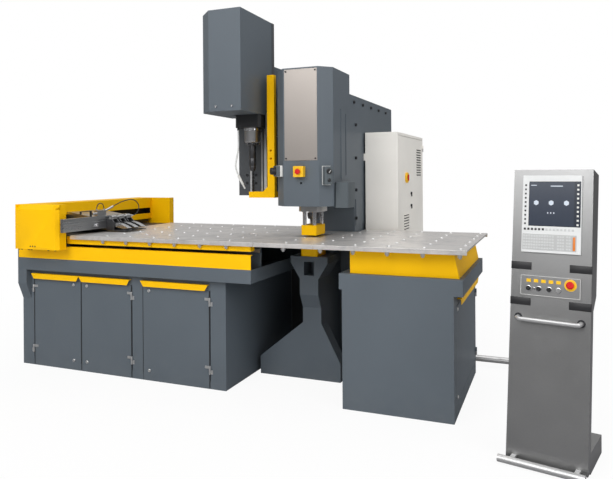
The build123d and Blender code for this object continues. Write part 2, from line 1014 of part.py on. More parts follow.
# Rails: two along the tray for the beam, two up the drill column
def linear_rails():
    seat = tray_front + bearer_inset
    middle = (slot_bottom + slot_top) / 2
    feed = block(
        (left_x + bearer_end_gap, tray_right - bearer_end_gap),
        (seat - rail_depth, seat),
        (middle - rail_width / 2, middle + rail_width / 2),
    )
    rails = [feed, across_table(feed)]
    rail_bottom = column_bottom + drill_rail_lift
    for side in (-1, 1):
        x = drill_x + side * drill_rail_offset
        rails.append(
            block(
                (x - rail_width / 2, x + rail_width / 2),
                (column_front - rail_depth, column_front),
                (rail_bottom, rail_bottom + drill_rail_length),
            )
        )
    return rails


# Feed beam: box beam with end boxes that hang past the table edges
beam_start = left_x + beam_inset
beam_x = (beam_start, beam_start + beam_width)
beam_z = (table_height + beam_lift, table_height + beam_lift + beam_height)
beam_front = -table_front - beam_box_gap
beam_rear = 2 * table_middle - beam_front
beam_box_right = beam_start + beam_box_width


def feed_beam():
    body = block(beam_x, (beam_front, beam_rear), beam_z)
    box_face = beam_front - beam_box_depth
    box_bottom = beam_z[0] - beam_box_hang
    section = [
        (beam_front, box_bottom),
        (box_face, box_bottom),
        (box_face, beam_z[1] - beam_box_bevel),
        (box_face + beam_box_bevel, beam_z[1]),
        (beam_front, beam_z[1]),
    ]
    box = along_x(section, (beam_start, beam_box_right))
    corner = box.edges().filter_by(Axis.Z).sort_by_distance((beam_box_right, box_face, beam_z[0]))[0]
    box = chamfer(corner, beam_box_chamfer)
    for n in range(drain_count):
        drain = (beam_start + drain_start + n * drain_pitch, box_face - overrun, box_bottom + drain_lift)
        box -= rod(drain, (0, 1, 0), drain_radius, drain_depth + overrun)
    slot_z = beam_z[0] + beam_slot_lift
    slot = block(
        (beam_x[1] - beam_slot_depth, beam_x[1] + overrun),
        (beam_front + beam_slot_inset, beam_rear - beam_slot_inset),
        (slot_z, slot_z + beam_slot_height),
    )
    return body + box + across_table(box) - slot


def beam_saddles():
    seat = tray_front + bearer_inset
    middle = (slot_bottom + slot_top) / 2
    x = (beam_start + saddle_inset, beam_box_right - saddle_inset)
    bearing_y = (seat - saddle_block_depth - running_gap, seat - running_gap)
    plate = block(x, (beam_front, bearing_y[0]), (middle - saddle_thick / 2, middle + saddle_thick / 2))
    bearing = block(x, bearing_y, (middle - saddle_block_height / 2, middle + saddle_block_height / 2))
    half = rail_width / 2 + running_gap
    groove = block(
        (x[0] - overrun, x[1] + overrun),
        (seat - rail_depth - running_gap, seat + overrun),
        (middle - half, middle + half),
    )
    saddle = plate + bearing - groove
    wipers = [
        block(
            (wiper_x, wiper_x + beam_guard_thick),
            (beam_front + beam_slot_inset, beam_rear - beam_slot_inset),
            (table_height + beam_guard_gap, beam_z[0]),
        )
        for wiper_x in (beam_x[0] + beam_guard_inset, beam_x[1] - beam_guard_inset)
    ]
    return [saddle, across_table(saddle)] + wipers


# Clamp carriage: tongue in the beam's slot, block out to the clamp bar
bar_left = beam_box_right + bar_pass_gap
bar_right = bar_left + clamp_bar_width
bar_bottom = table_height + clamp_bar_lift
bar_top = bar_bottom + clamp_bar_height


def clamp_carriage():
    y = (-carriage_front, carriage_length - carriage_front)
    slot_z = beam_z[0] + beam_slot_lift
    tongue = block(
        (beam_x[1] - beam_slot_depth + running_gap, beam_x[1] + beam_slot_inset),
        y,
        (slot_z + running_gap, slot_z + beam_slot_height - running_gap),
    )
    apron_top = slot_z + beam_slot_height
    section = [
        (beam_x[1] + running_gap, beam_z[0]),
        (bar_left, beam_z[0]),
        (bar_left, beam_z[0] + carriage_height),
        (beam_x[1] + beam_slot_inset * 2, apron_top + beam_slot_inset),
        (beam_x[1] + running_gap, apron_top + beam_slot_inset),
    ]
    return along_y(section, y) + tongue


def clamp_bar():
    y = (-clamp_bar_front, clamp_bar_length - clamp_bar_front)
    groove_z = bar_top - clamp_bar_height / 3
    groove = block(
        (bar_right - bar_groove_depth, bar_right + overrun),
        (y[0] - overrun, y[1] + overrun),
        (groove_z - bar_groove / 2, groove_z + bar_groove / 2),
    )
    return block((bar_left, bar_right), y, (bar_bottom, bar_top)) - groove


# Clamps: body with a fixed lower jaw, a pivoting claw above it, an air cylinder on top
clamp_centres = [-clamp_first + n * clamp_pitch for n in range(3)]
claw_pivot_x = bar_right + clamp_body_length - jaw_heel
claw_tip_x = bar_right + clamp_body_length + jaw_reach
clamp_body_top = table_height + clamp_body_rise
lower_jaw_bottom = table_height + lower_jaw_lift
jaw_pivot_height = table_height + jaw_pivot_lift
claw_under = lower_jaw_bottom + lower_jaw_thick + mouth_gap


def clamp_body(y):
    body_right = bar_right + clamp_body_length
    section = [
        (bar_right, lower_jaw_bottom),
        (claw_tip_x, lower_jaw_bottom),
        (claw_tip_x, lower_jaw_bottom + lower_jaw_thick / 2),
        (claw_tip_x - lower_jaw_thick, lower_jaw_bottom + lower_jaw_thick),
        (body_right, lower_jaw_bottom + lower_jaw_thick),
        (body_right, clamp_body_top - jaw_heel),
        (body_right - jaw_heel, clamp_body_top),
        (bar_right, clamp_body_top),
    ]
    half = clamp_width / 2
    body = along_y(section, (y - half, y + half))
    slot_half = jaw_width / 2 + jaw_slot_gap
    body -= block(
        (claw_pivot_x - 2 * jaw_heel, body_right + overrun),
        (y - slot_half, y + slot_half),
        (lower_jaw_bottom + lower_jaw_thick, clamp_body_top + overrun),
    )
    pin = rod((claw_pivot_x, y - half, jaw_pivot_height), (0, 1, 0), jaw_pivot_radius, clamp_width)
    return body + pin


def clamp_bodies():
    return [clamp_body(y) for y in clamp_centres]


def clamp_jaw(y):
    crown_x = claw_pivot_x + jaw_reach / 2
    heel_x = claw_pivot_x - jaw_heel / 2
    top = jaw_pivot_height + jaw_heel / 2
    with BuildSketch() as claw:
        with BuildLine():
            back = Line((heel_x, claw_under + jaw_thick), (heel_x, top))
            lid = Line(back @ 1, (claw_pivot_x + jaw_heel, top))
            crown = ThreePointArc(
                lid @ 1,
                (crown_x + jaw_heel, claw_under + jaw_crown),
                (claw_tip_x, claw_under + jaw_thick / 4),
            )
            nose = Line(crown @ 1, (claw_tip_x - jaw_thick / 4, claw_under))
            pad = Line(nose @ 1, (claw_tip_x - jaw_reach / 3, claw_under))
            ThreePointArc(pad @ 1, (crown_x, claw_under + jaw_thick / 4), back @ 0)
        make_face()
    half = jaw_width / 2
    plane = Plane((0, y + half, 0), x_dir=(1, 0, 0), z_dir=(0, -1, 0))
    body = extrude(plane * claw.sketch, amount=jaw_width)
    hole = rod(
        (claw_pivot_x, y - half - overrun, jaw_pivot_height),
        (0, 1, 0),
        jaw_pivot_radius + running_gap,
        jaw_width + 2 * overrun,
    )
    return body - hole


def air_cylinders():
    front = clamp_centres[0] - air_cylinder_length / 2
    row = rod((air_x, front, air_z), (0, 1, 0), air_pipe_radius, pipe_end.Y - front)
    for y in clamp_centres:
        low = y - air_cylinder_length / 2
        row += rod((air_x, low, air_z), (0, 1, 0), air_cylinder_radius, air_cylinder_length)
        row += block(
            (air_x - air_cylinder_radius, air_x + air_cylinder_radius),
            (low, low + air_cylinder_length),
            (clamp_body_top, air_z),
        )
    valve = block((bar_left, bar_right), valve_y, (bar_top, valve_top))
    inlet = (valve_x, valve_y[0] - 2 * fitting_length, valve_top - valve_height / 2)
    valve += rod(inlet, (0, 1, 0), fitting_radius, 2 * fitting_length)
    tail = loop_route[-1]
    lead = (tail - loop_route[-2]).normalized()
    return [row, valve + rod(tail, lead, fitting_radius, (valve_y[1] - fitting_length - tail.Y) / lead.Y)]


# A hose: straight runs joined by arcs as large as the runs allow
def hose(points, radius):
    radii = []
    for before, here, after in zip(points, points[1:], points[2:]):
        turn = radians((here - before).get_angle(after - here))
        shorter = min((here - before).length, (after - here).length)
        radii.append(bend_share * shorter / tan(turn / 2))
    path = FilletPolyline(*points, radius=radii)
    section = Plane(points[0], z_dir=points[1] - points[0]) * RegularPolygon(radius, hose_sides)
    print("hose radii", [round(r) for r in radii], "length", round(path.length))
    return sweep(section, path=path)


# Arch between two upright ports, in equal turns
def arch(start, end):
    middle = (start + end) / 2
    half = (end - start) / 2
    turn = pi / arch_turns
    reach = 1 / cos(turn / 2)
    points = [start]
    for n in range(arch_turns):
        angle = pi - turn * (2 * n + 1) / 2
        lift = arch_rise + half.length * reach * (sin(angle) - sin(turn / 2))
        points.append(middle + half * reach * cos(angle) + Vector(0, 0, lift))
    return points + [end]


# Air row on the clamps, valve on the bar, and the hoses between them
air_x = bar_right + clamp_body_length / 2
air_z = clamp_body_top + air_cylinder_radius
pipe_end = Vector(air_x, clamp_centres[-1] + air_cylinder_length / 2 + air_pipe_lead, air_z)
valve_x = (bar_left + bar_right) / 2
valve_middle = clamp_centres[0] - valve_offset
valve_y = (valve_middle - valve_length / 2, valve_middle + valve_length / 2)
valve_top = bar_top + valve_height
port_a = Vector(valve_x, valve_y[0] + valve_port_inset, valve_top)
port_b = Vector(valve_x, valve_y[1] - valve_port_inset, valve_top)
loop_route = [pipe_end + Vector(*p) for p in loop_points]
coolant_route = [Vector(drill_x, 0, drill_carriage_bottom) + Vector(*p) for p in coolant_points]


def coolant_nozzle():
    tail = coolant_route[-1]
    lead = (tail - coolant_route[-2]).normalized()
    seat = Plane(tail, z_dir=lead)
    profile = [
        (0, 0),
        (hose_stub_radius, 0),
        (nozzle_tip_radius, nozzle_length),
        (0, nozzle_length),
    ]
    return seat * revolve(Plane.XZ * outline(profile), Axis.Z)


# Drill unit: column on a bracket, sheet housing, carriage with motor spindle
def drill_column():
    left = drill_x - column_left
    outer = drill_x + column_right
    shape = [
        (left, column_bottom),
        (outer, column_bottom),
        (outer, housing_top),
        (drill_x - housing_left, housing_top),
        (drill_x - housing_left, housing_bottom),
        (left, housing_bottom),
    ]
    guide_bottom = presser_bottom + presser_guide_rise
    guide = block(
        (outer, drill_x + presser_leg_offset + presser_leg_width),
        (presser_leg_thick - presser_front + running_gap, column_y[1]),
        (guide_bottom, guide_bottom + presser_guide_height),
    )
    return along_y(shape, column_y) + guide


def housing_plan(inset):
    left = drill_x - housing_left + inset
    right = drill_x + housing_right - inset
    front = -housing_front + inset
    cut = housing_chamfer - inset * (2 - sqrt(2))
    rear = column_front + (overrun if inset else 0)
    return [(right, rear), (right, front), (left + cut, front), (left, front + cut), (left, rear)]


def drill_housing():
    shell = along_z(housing_plan(0), (housing_bottom, housing_top))
    shell -= along_z(housing_plan(sheet_wall), (housing_bottom + sheet_wall, housing_top - sheet_wall))
    return shell - block(
        (drill_x - mount_half - housing_floor_gap, drill_x + housing_right - sheet_wall),
        (-mount_reach - housing_floor_gap, column_front + overrun),
        (housing_bottom - overrun, housing_bottom + sheet_wall + overrun),
    )


def drill_carriage():
    z = (drill_carriage_bottom, drill_carriage_bottom + drill_carriage_height)
    plate_rear = carriage_plate_front + carriage_plate_thick
    body = block((drill_x - carriage_half, drill_x + carriage_half), (carriage_plate_front, plate_rear), z)
    for side in (-1, 1):
        x = drill_x + side * drill_rail_offset
        half = rail_width / 2 + running_gap
        for low in (z[0], z[1] - bearing_height):
            bearing = block(
                (x - bearing_half, x + bearing_half),
                (plate_rear, column_front - running_gap),
                (low, low + bearing_height),
            )
            body += bearing - block(
                (x - half, x + half),
                (column_front - rail_depth - running_gap, column_front),
                (low - overrun, low + bearing_height + overrun),
            )
    mount = block(
        (drill_x - mount_half, drill_x + mount_half),
        (-mount_reach, carriage_plate_front),
        (z[0], z[0] + mount_height),
    )
    mount = chamfer(mount.edges().filter_by(Axis.Z).group_by(Axis.Y)[0], mount_reach / 5)
    body += mount
    stub = coolant_route[0]
    body += rod_z(stub.X, stub.Y, hose_stub_radius, (stub.Z, drill_carriage_bottom))
    bore_z = (drill_carriage_bottom - overrun, drill_carriage_bottom + mount_height + overrun)
    return body - rod_z(drill_x, 0, nose_radius + fit_gap, bore_z)


def drill_spindle():
    mount_top = drill_carriage_bottom + mount_height
    nose = rod_z(drill_x, 0, nose_radius, (collar_top, mount_top))
    nose = chamfer(nose.edges().group_by(Axis.Z)[0], nose_radius / 10)
    nose += rod_z(drill_x, 0, nose_collar_radius, (collar_bottom, collar_top))
    motor_rear = carriage_plate_front
    motor = block(
        (drill_x - motor_half, drill_x + motor_half),
        (motor_rear - 2 * motor_half, motor_rear),
        (mount_top, mount_top + motor_height),
    )
    for n in range(motor_rib_count):
        share = (n + 1) / (motor_rib_count + 1)
        z = mount_top + motor_height * share
        band = block(
            (drill_x - motor_half - overrun, drill_x + motor_half + overrun),
            (motor_rear - 2 * motor_half - overrun, motor_rear - motor_rib_depth),
            (z - motor_rib_depth, z + motor_rib_depth),
        )
        core = block(
            (drill_x - motor_half + motor_rib_depth, drill_x + motor_half - motor_rib_depth),
            (motor_rear - 2 * motor_half + motor_rib_depth, motor_rear),
            (z - motor_rib_depth - overrun, z + motor_rib_depth + overrun),
        )
        motor -= band - core
    socket_z = (collar_bottom - overrun, collar_bottom + chuck_socket_depth)
    return nose + motor - rod_z(drill_x, 0, chuck_stub_radius + running_gap, socket_z)


chuck_top = collar_bottom - running_gap
chuck_bottom = chuck_top - chuck_length


def drill_chuck():
    taper = chuck_bottom + chuck_length * chuck_taper_share
    stub_top = chuck_top + chuck_socket_depth - running_gap
    profile = [
        (0, chuck_bottom),
        (chuck_tip_radius, chuck_bottom),
        (chuck_radius, taper),
        (chuck_radius, chuck_top),
        (chuck_stub_radius, chuck_top),
        (chuck_stub_radius, stub_top),
        (0, stub_top),
    ]
    return turned(profile, drill_x, 0)


def drill_bit():
    tip = chuck_bottom - bit_length
    shoulder = tip + bit_length * bit_point_share
    profile = [(0, tip), (bit_radius, shoulder), (bit_radius, chuck_bottom), (0, chuck_bottom)]
    return turned(profile, drill_x, 0)


# Presser arm: a leg guided on the column and a forked foot beside the drill
def presser_arm():
    leg_left = drill_x + presser_leg_offset
    leg_right = leg_left + presser_leg_width
    foot_top = presser_bottom + presser_foot_thick
    section = [
        (leg_right, presser_bottom),
        (leg_right, presser_bottom + presser_height),
        (leg_left, presser_bottom + presser_height),
        (leg_left, foot_top + presser_gusset),
        (leg_left - presser_gusset, foot_top),
        (leg_left - presser_gusset, presser_bottom),
    ]
    arm = along_y(section, (-presser_front, presser_leg_thick - presser_front))
    foot_left = drill_x + presser_foot_left
    foot = block((foot_left, leg_right), (-presser_front, presser_front), (presser_bottom, foot_top))
    notch = rod_z(drill_x, 0, presser_fork_radius, (presser_bottom - overrun, foot_top + overrun))
    arm += foot - notch
    for n in range(2):
        z = presser_bottom + presser_bolt_rise + n * presser_bolt_pitch
        bolt = ((leg_left + leg_right) / 2, -presser_front - overrun, z)
        arm -= rod(bolt, (0, 1, 0), presser_bolt_radius, presser_leg_thick + 2 * overrun)
    return arm


# Right table: hollow cabinet with a wider band on top, side door, tapered riser
right_side = right_body_left + right_body_width
right_rear = right_body_depth - right_body_front
right_door_rear = right_door_width - right_door_front
right_band_top = tray_bottom + right_band_height
right_door_z = (right_door_bottom, door_z[1])


def inside(*spans):
    return block(*[(low + sheet_wall, high - sheet_wall) for low, high in spans])


def right_cabinet():
    x = (right_body_left, right_side)
    y = (-right_body_front, right_rear)
    band_x = (right_body_left - right_band_left, right_side + right_band_right)
    body = block(x, y, (0, right_band_top)) + block(band_x, y, (tray_bottom, right_band_top))
    body -= inside(x, y, (0, right_band_top))
    body -= inside(band_x, y, (tray_bottom, right_band_top))
    return body - block(
        (right_side - sheet_wall - overrun, right_side + overrun),
        (-right_door_front - door_gap, right_door_rear + door_gap),
        (right_door_z[0] - door_gap, right_door_z[1] + door_gap),
    )


def right_door():
    x = (right_side - door_thick, right_side)
    panel = rect_pan(x, (-right_door_front, right_door_rear), right_door_z, door_sheet, (0, 0))
    for z in hinge_places(right_door_z):
        panel += Pos(right_side, right_door_rear, z) * Rot(0, 0, 90) * barrel_half(-1, True)
    return panel


def riser():
    left = right_body_left - right_band_left + riser_inset_left
    right = right_side + right_band_right - riser_inset_right
    y = (riser_inset_front - right_body_front, right_rear - riser_inset_front)

    def section(inset):
        return [
            (left + inset, right_band_top),
            (right - inset, right_band_top),
            (right - riser_lean - inset, plate_under),
            (left + inset, plate_under),
        ]

    inner_y = (y[0] + sheet_wall, y[1] - sheet_wall)
    return along_y(section(0), y) - along_y(section(sheet_wall), inner_y)


# Control cabinet on strips beside the column, door with louvres, drive rack inside
control_left = cover_face + control_gap
control_face = control_left + control_width
control_rear = control_front + control_length
control_top = control_bottom + control_height
control_door_y = (control_front + control_rim, control_rear - control_rim)
control_door_z = (control_bottom + control_rim, control_top - control_rim)
switch_y = control_front + control_length * switch_reach_share


def control_cabinet():
    x = (control_left, control_face)
    y = (control_front, control_rear)
    z = (control_bottom, control_top)
    case = block(x, y, z) - inside(x, y, z)
    case -= block(
        (control_face - sheet_wall - overrun, control_face + overrun),
        (control_door_y[0] - door_gap, control_door_y[1] + door_gap),
        (control_door_z[0] - door_gap, control_door_z[1] + door_gap),
    )
    low = control_bottom + control_strip_inset
    case += block((frame_half, control_left), (control_front, frame_back), (low, low + control_strip))
    cover_back = frame_back - frame_cover_inset
    high_z = (control_top - control_strip_inset - control_strip, control_top - control_strip_inset)
    return case + block((cover_face, control_left), (control_front, cover_back), high_z)


def control_door():
    x = (control_face - door_thick, control_face)
    panel = rect_pan(x, control_door_y, control_door_z, door_sheet, (0, 0))
    for front, low in ((upper_louvre_front, upper_louvre_bottom), (lower_louvre_front, lower_louvre_bottom)):
        for n in range(louvre_count):
            start = low + n * louvre_pitch
            panel -= block(
                (control_face - door_sheet - overrun, control_face + overrun),
                (control_front + front, control_front + front + louvre_length),
                (start, start + louvre_slot),
            )
    shaft = (control_face - door_thick, switch_y, main_switch_height)
    panel -= rod(shaft, (1, 0, 0), knob_stem_radius + running_gap, 2 * door_thick)
    for z in hinge_places(control_door_z):
        panel += Pos(control_face, control_door_y[1], z) * Rot(0, 0, 90) * barrel_half(-1, True)
    return panel


def main_switch():
    face = control_face + running_gap
    knob = rod((face, switch_y, main_switch_height), (1, 0, 0), knob_radius, knob_thick / 2)
    grip = block(
        (face, face + knob_thick),
        (switch_y - knob_grip_width / 2, switch_y + knob_grip_width / 2),
        (main_switch_height - knob_radius, main_switch_height + knob_radius),
    )
    stem_start = (face - knob_stem_length, switch_y, main_switch_height)
    return knob + grip + rod(stem_start, (1, 0, 0), knob_stem_radius, knob_stem_length)


def drive_rack():
    plate_x = (control_left + sheet_wall, control_left + sheet_wall + rack_plate_thick)
    y = (control_front + rack_margin, control_rear - rack_margin)
    z = (control_bottom + rack_margin, control_top - rack_margin)
    rack = [block(plate_x, y, z)]
    width = (y[1] - y[0] - drive_gap * (drive_count + 1)) / drive_count
    for n in range(drive_count):
        low = y[0] + drive_gap + n * (width + drive_gap)
        top = z[1] - drive_gap
        drive = block((plate_x[1], plate_x[1] + drive_depth), (low, low + width), (top - drive_height, top))
        rack.append(chamfer(drive.edges().group_by(Axis.X)[-1], drive_gap / 4))
    return rack


# Hydraulic pack in the right bay of the left cabinet
def hydraulic_pack():
    middle = (door_c[0] + door_c[1]) / 2
    tank_x = (door_c[0] + tank_door_inset, door_c[1] - tank_door_inset)
    tank = block(
        tank_x,
        (tank_front, tank_front + tank_depth),
        (sheet_wall, sheet_wall + tank_height),
    )
    tank = fillet(tank.edges().filter_by(Axis.Z), (tank_x[1] - tank_x[0]) / 20)
    top = sheet_wall + tank_height
    motor = rod(
        (middle, tank_front + (tank_depth - pump_motor_length) / 2, top + pump_motor_radius),
        (0, 1, 0),
        pump_motor_radius,
        pump_motor_length,
    )
    foot_half = pump_motor_radius * motor_foot_share
    foot = block(
        (middle - foot_half, middle + foot_half),
        (tank_front + tank_depth / 3, tank_front + tank_depth * 2 / 3),
        (top, top + pump_motor_radius),
    )
    return [tank, motor + foot]


# Console: leaning folded sheet on a foot, turned towards the punch
console_place = Pos(console_x, console_y, 0) * Rot(0, 0, console_turn)
console_half = console_width / 2


def console_front_y(z):
    return console_lean * (z - console_lift) / (console_height - console_lift)


def console_face(x, z):
    slope = console_lean / (console_height - console_lift)
    return Plane((x, console_front_y(z), z), x_dir=(1, 0, 0), z_dir=(0, -1, slope))


def console_body():
    section = [
        (console_front_y(console_lift), console_lift),
        (console_lean, console_height),
        (console_lean + console_head_depth, console_height - console_shell / 2),
        (console_front_y(console_head_bottom) + console_head_depth, console_head_bottom + console_shell),
        (console_front_y(console_head_bottom) + console_shell, console_head_bottom),
        (console_front_y(console_foot_height) + console_shell, console_foot_height),
        (console_foot_depth, console_foot_rear_height),
        (console_foot_depth, 0),
        (console_shell, 0),
        (console_shell, console_lift),
    ]
    body = along_x(section, (-console_half, console_half))
    face = console_face(0, panel_bottom + panel_height / 2)
    body += extrude(face * Rectangle(panel_width, panel_height), amount=panel_thick)
    stem_depth = stop_stem_length + stop_travel + button_stem_length + overrun
    for place in button_places + [stop_place]:
        stem = stop_stem_radius if place == stop_place else button_stem_radius
        seat = console_face(*place).offset(panel_thick + overrun)
        body -= extrude(seat * Circle(stem + running_gap), amount=-stem_depth)
    for z in grip_heights:
        width = console_half + overrun - grip_start
        pocket = Pos(grip_start + width / 2, 0) * Rectangle(width, grip_height)
        pocket = extrude(console_face(0, z).offset(-grip_depth) * pocket, amount=grip_depth + overrun)
        body -= pocket + mirror(pocket, about=Plane.YZ)
    return body


def panel_spot(share_x, share_z):
    return (-panel_width / 2 + panel_width * share_x, panel_bottom + panel_height * share_z)


button_places = [panel_spot(share, button_row_share) for share in button_shares]
stop_place = panel_spot(console_stop_share, 1 - button_row_share)


def console_screen():
    face = console_face(0, screen_bottom + screen_height / 2)
    case = extrude(face * Rectangle(screen_width, screen_height), amount=screen_proud)
    glass_height = screen_height * glass_share
    lift = screen_height / 2 - glass_margin - glass_height / 2
    glass = Pos(0, lift) * Rectangle(screen_width - 2 * glass_margin, glass_height)
    return case - extrude(face.offset(screen_proud + overrun) * glass, amount=-screen_recess - overrun)


def console_button(place):
    face = console_face(*place).offset(panel_thick)
    stand_off = button_travel + 2 * running_gap
    return face * mushroom(button_radius, button_thick, button_stem_radius, button_stem_length, stand_off)


def console_selector(place):
    face = console_face(*place).offset(panel_thick + running_gap)
    knob = extrude(face * Circle(button_radius), amount=button_thick / 2)
    knob += extrude(face * Rectangle(button_radius / 2, 2 * button_radius), amount=button_thick)
    return knob + extrude(face * Circle(button_stem_radius), amount=-button_stem_length)


def console_stop_button():
    face = console_face(*stop_place).offset(panel_thick)
    stand_off = stop_travel + 2 * running_gap
    return face * mushroom(stop_cap_radius, stop_cap_thick, stop_stem_radius, stop_stem_length, stand_off)


# What lies in front of the console's leaning face
def before_console(shape, z):
    size = 2 * console_height
    return shape & extrude(console_face(0, z) * Rectangle(size, size), amount=size)


def console_bars():
    half = console_half - handle_inset
    seat_y = console_front_y(handle_height)
    path = FilletPolyline(
        (-half, seat_y + handle_radius, handle_height),
        (-half, seat_y - handle_reach, handle_height),
        (half, seat_y - handle_reach, handle_height),
        (half, seat_y + handle_radius, handle_height),
        radius=2 * handle_radius,
    )
    grip = sweep(Plane(path @ 0, z_dir=path % 0) * RegularPolygon(handle_radius, handle_sides), path=path)
    bar = rod(
        (-console_half - foot_bar_overhang, -foot_bar_reach, foot_bar_height),
        (1, 0, 0),
        foot_bar_radius,
        console_width + foot_bar_overhang,
    )
    for side in (-1, 1):
        stay = block(
            (side * half - handle_radius, side * half + handle_radius),
            (-foot_bar_reach, console_shell),
            (foot_bar_height, foot_bar_height + handle_radius),
        )
        bar += before_console(stay, foot_bar_height)
    return [before_console(grip, handle_height), bar]


# Conduit: rigid tube along the floor from the column to the console's foot
def console_conduit():
    end = (console_place * Pos(0, console_foot_depth, conduit_z)).position
    lead = (console_place * Pos(0, console_foot_depth + conduit_lead, conduit_z)).position
    path = FilletPolyline(
        (frame_half, conduit_rear, conduit_z),
        (lead.X, conduit_rear, conduit_z),
        lead,
        end,
        radius=conduit_bend,
    )
    tube = sweep(Plane(path @ 0, z_dir=path % 0) * RegularPolygon(conduit_radius, conduit_sides), path=path)
    nut = rod((frame_half, conduit_rear, conduit_z), (1, 0, 0), conduit_nut_radius, conduit_nut_length)
    last = rod(end, lead - end, conduit_nut_radius, conduit_nut_length)
    return tube + nut + last


# Every node by name
parts["press_frame"] = press_frame()
parts["frame_side_covers"] = frame_side_covers()
parts["head_cover"] = head_cover()
parts["head_nameplate"] = head_plaque()
parts["head_stop_box"] = head_stop_box()
parts["head_stop_button"] = head_stop_button()
parts["head_junction_boxes"] = head_junction_boxes()
parts["press_cylinder"] = press_cylinder()
parts["punch_ram"] = punch_ram()
parts["punch_tool"] = [punch_nut(), punch()]
parts["stripper_posts"] = stripper_posts()
parts["stripper_block"] = stripper_block()
parts["die_holder"] = die_holder()
parts["die"] = die()
parts["drill_column"] = drill_column()
parts["drill_housing"] = drill_housing()
parts["drill_carriage"] = drill_carriage()
parts["drill_spindle"] = drill_spindle()
parts["drill_chuck"] = [drill_chuck(), drill_bit()]
parts["presser_arm"] = presser_arm()
parts["coolant_hose"] = hose(coolant_route, hose_radius)
parts["coolant_nozzle"] = coolant_nozzle()
parts["left_cabinet"] = left_cabinet()
parts["left_tray"] = left_tray()
parts["table_aprons"] = table_aprons()
parts["left_door_a"] = left_door(door_a, -1)
parts["left_door_b"] = left_door(door_b, 1)
parts["left_door_c"] = left_door(door_c, 1)
parts["door_lips"] = door_lips()
parts["hinge_barrels"] = hinge_barrels()
parts["table_plates"] = table_plates()
parts["ball_units"] = ball_units()
parts["linear_rails"] = linear_rails()
parts["feed_beam"] = feed_beam()
parts["beam_saddles"] = beam_saddles()
parts["clamp_carriage"] = clamp_carriage()
parts["clamp_bar"] = clamp_bar()
parts["clamp_bodies"] = clamp_bodies()
for name, centre in zip("abc", clamp_centres):
    parts["clamp_jaw_" + name] = clamp_jaw(centre)
parts["clamp_cylinders"] = air_cylinders()
parts["clamp_hose_large"] = hose(loop_route, air_hose_radius)
parts["clamp_hose_small"] = hose(arch(port_a, port_b), air_hose_radius)
parts["right_cabinet"] = right_cabinet()
parts["right_door"] = right_door()
parts["control_cabinet"] = control_cabinet()
parts["control_door"] = control_door()
parts["main_switch"] = main_switch()
parts["drive_rack"] = drive_rack()
parts["hydraulic_pack"] = hydraulic_pack()
parts["console_conduit"] = console_conduit()
console_pieces = {
    "console_body": console_body(),
    "console_screen": console_screen(),
    "console_bars": console_bars(),
    "console_stop_button": console_stop_button(),
    "console_start_button": console_button(button_places[0]),
    "console_halt_button": console_button(button_places[1]),
    "console_mode_switch": console_selector(button_places[2]),
    "console_key_switch": console_selector(button_places[3]),
}
for name, piece in console_pieces.items():
    solids = piece if isinstance(piece, list) else [piece]
    parts[name] = [console_place * solid for solid in solids]

os.makedirs("parts", exist_ok=True)
for name, piece in parts.items():
    shape = Compound(children=piece) if isinstance(piece, list) else piece
    export_step(shape, "parts/" + name + ".step")
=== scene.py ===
import math
import bmesh
import bpy
from mathutils import Matrix, Vector


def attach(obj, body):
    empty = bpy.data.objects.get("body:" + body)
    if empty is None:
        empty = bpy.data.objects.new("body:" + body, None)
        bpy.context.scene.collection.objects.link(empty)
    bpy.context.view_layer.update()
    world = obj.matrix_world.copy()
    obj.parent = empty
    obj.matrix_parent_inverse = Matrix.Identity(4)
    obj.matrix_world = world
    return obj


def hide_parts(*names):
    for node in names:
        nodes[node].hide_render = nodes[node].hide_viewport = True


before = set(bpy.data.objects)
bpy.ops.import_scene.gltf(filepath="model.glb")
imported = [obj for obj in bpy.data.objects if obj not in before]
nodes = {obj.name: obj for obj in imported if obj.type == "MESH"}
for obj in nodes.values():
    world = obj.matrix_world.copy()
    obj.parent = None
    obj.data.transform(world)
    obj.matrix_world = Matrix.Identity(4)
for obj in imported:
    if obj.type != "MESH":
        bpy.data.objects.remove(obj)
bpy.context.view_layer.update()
print("frame:", len(nodes), "nodes")


class Value:  # a socket that takes part in sums
    def __init__(self, finish, socket):
        self.finish = finish
        self.socket = socket

    def calc(self, operation, first, second):
        return self.finish.node("Math", {"operation": operation}, {0: first, 1: second})

    def __add__(self, other):
        return self.calc("ADD", self, other)

    __radd__ = __add__

    def __sub__(self, other):
        return self.calc("SUBTRACT", self, other)

    def __rsub__(self, other):
        return self.calc("SUBTRACT", other, self)

    def __mul__(self, other):
        return self.calc("MULTIPLY", self, other)

    __rmul__ = __mul__

    def __gt__(self, other):
        return self.calc("GREATER_THAN", self, other)

    def __lt__(self, other):
        return self.calc("LESS_THAN", self, other)


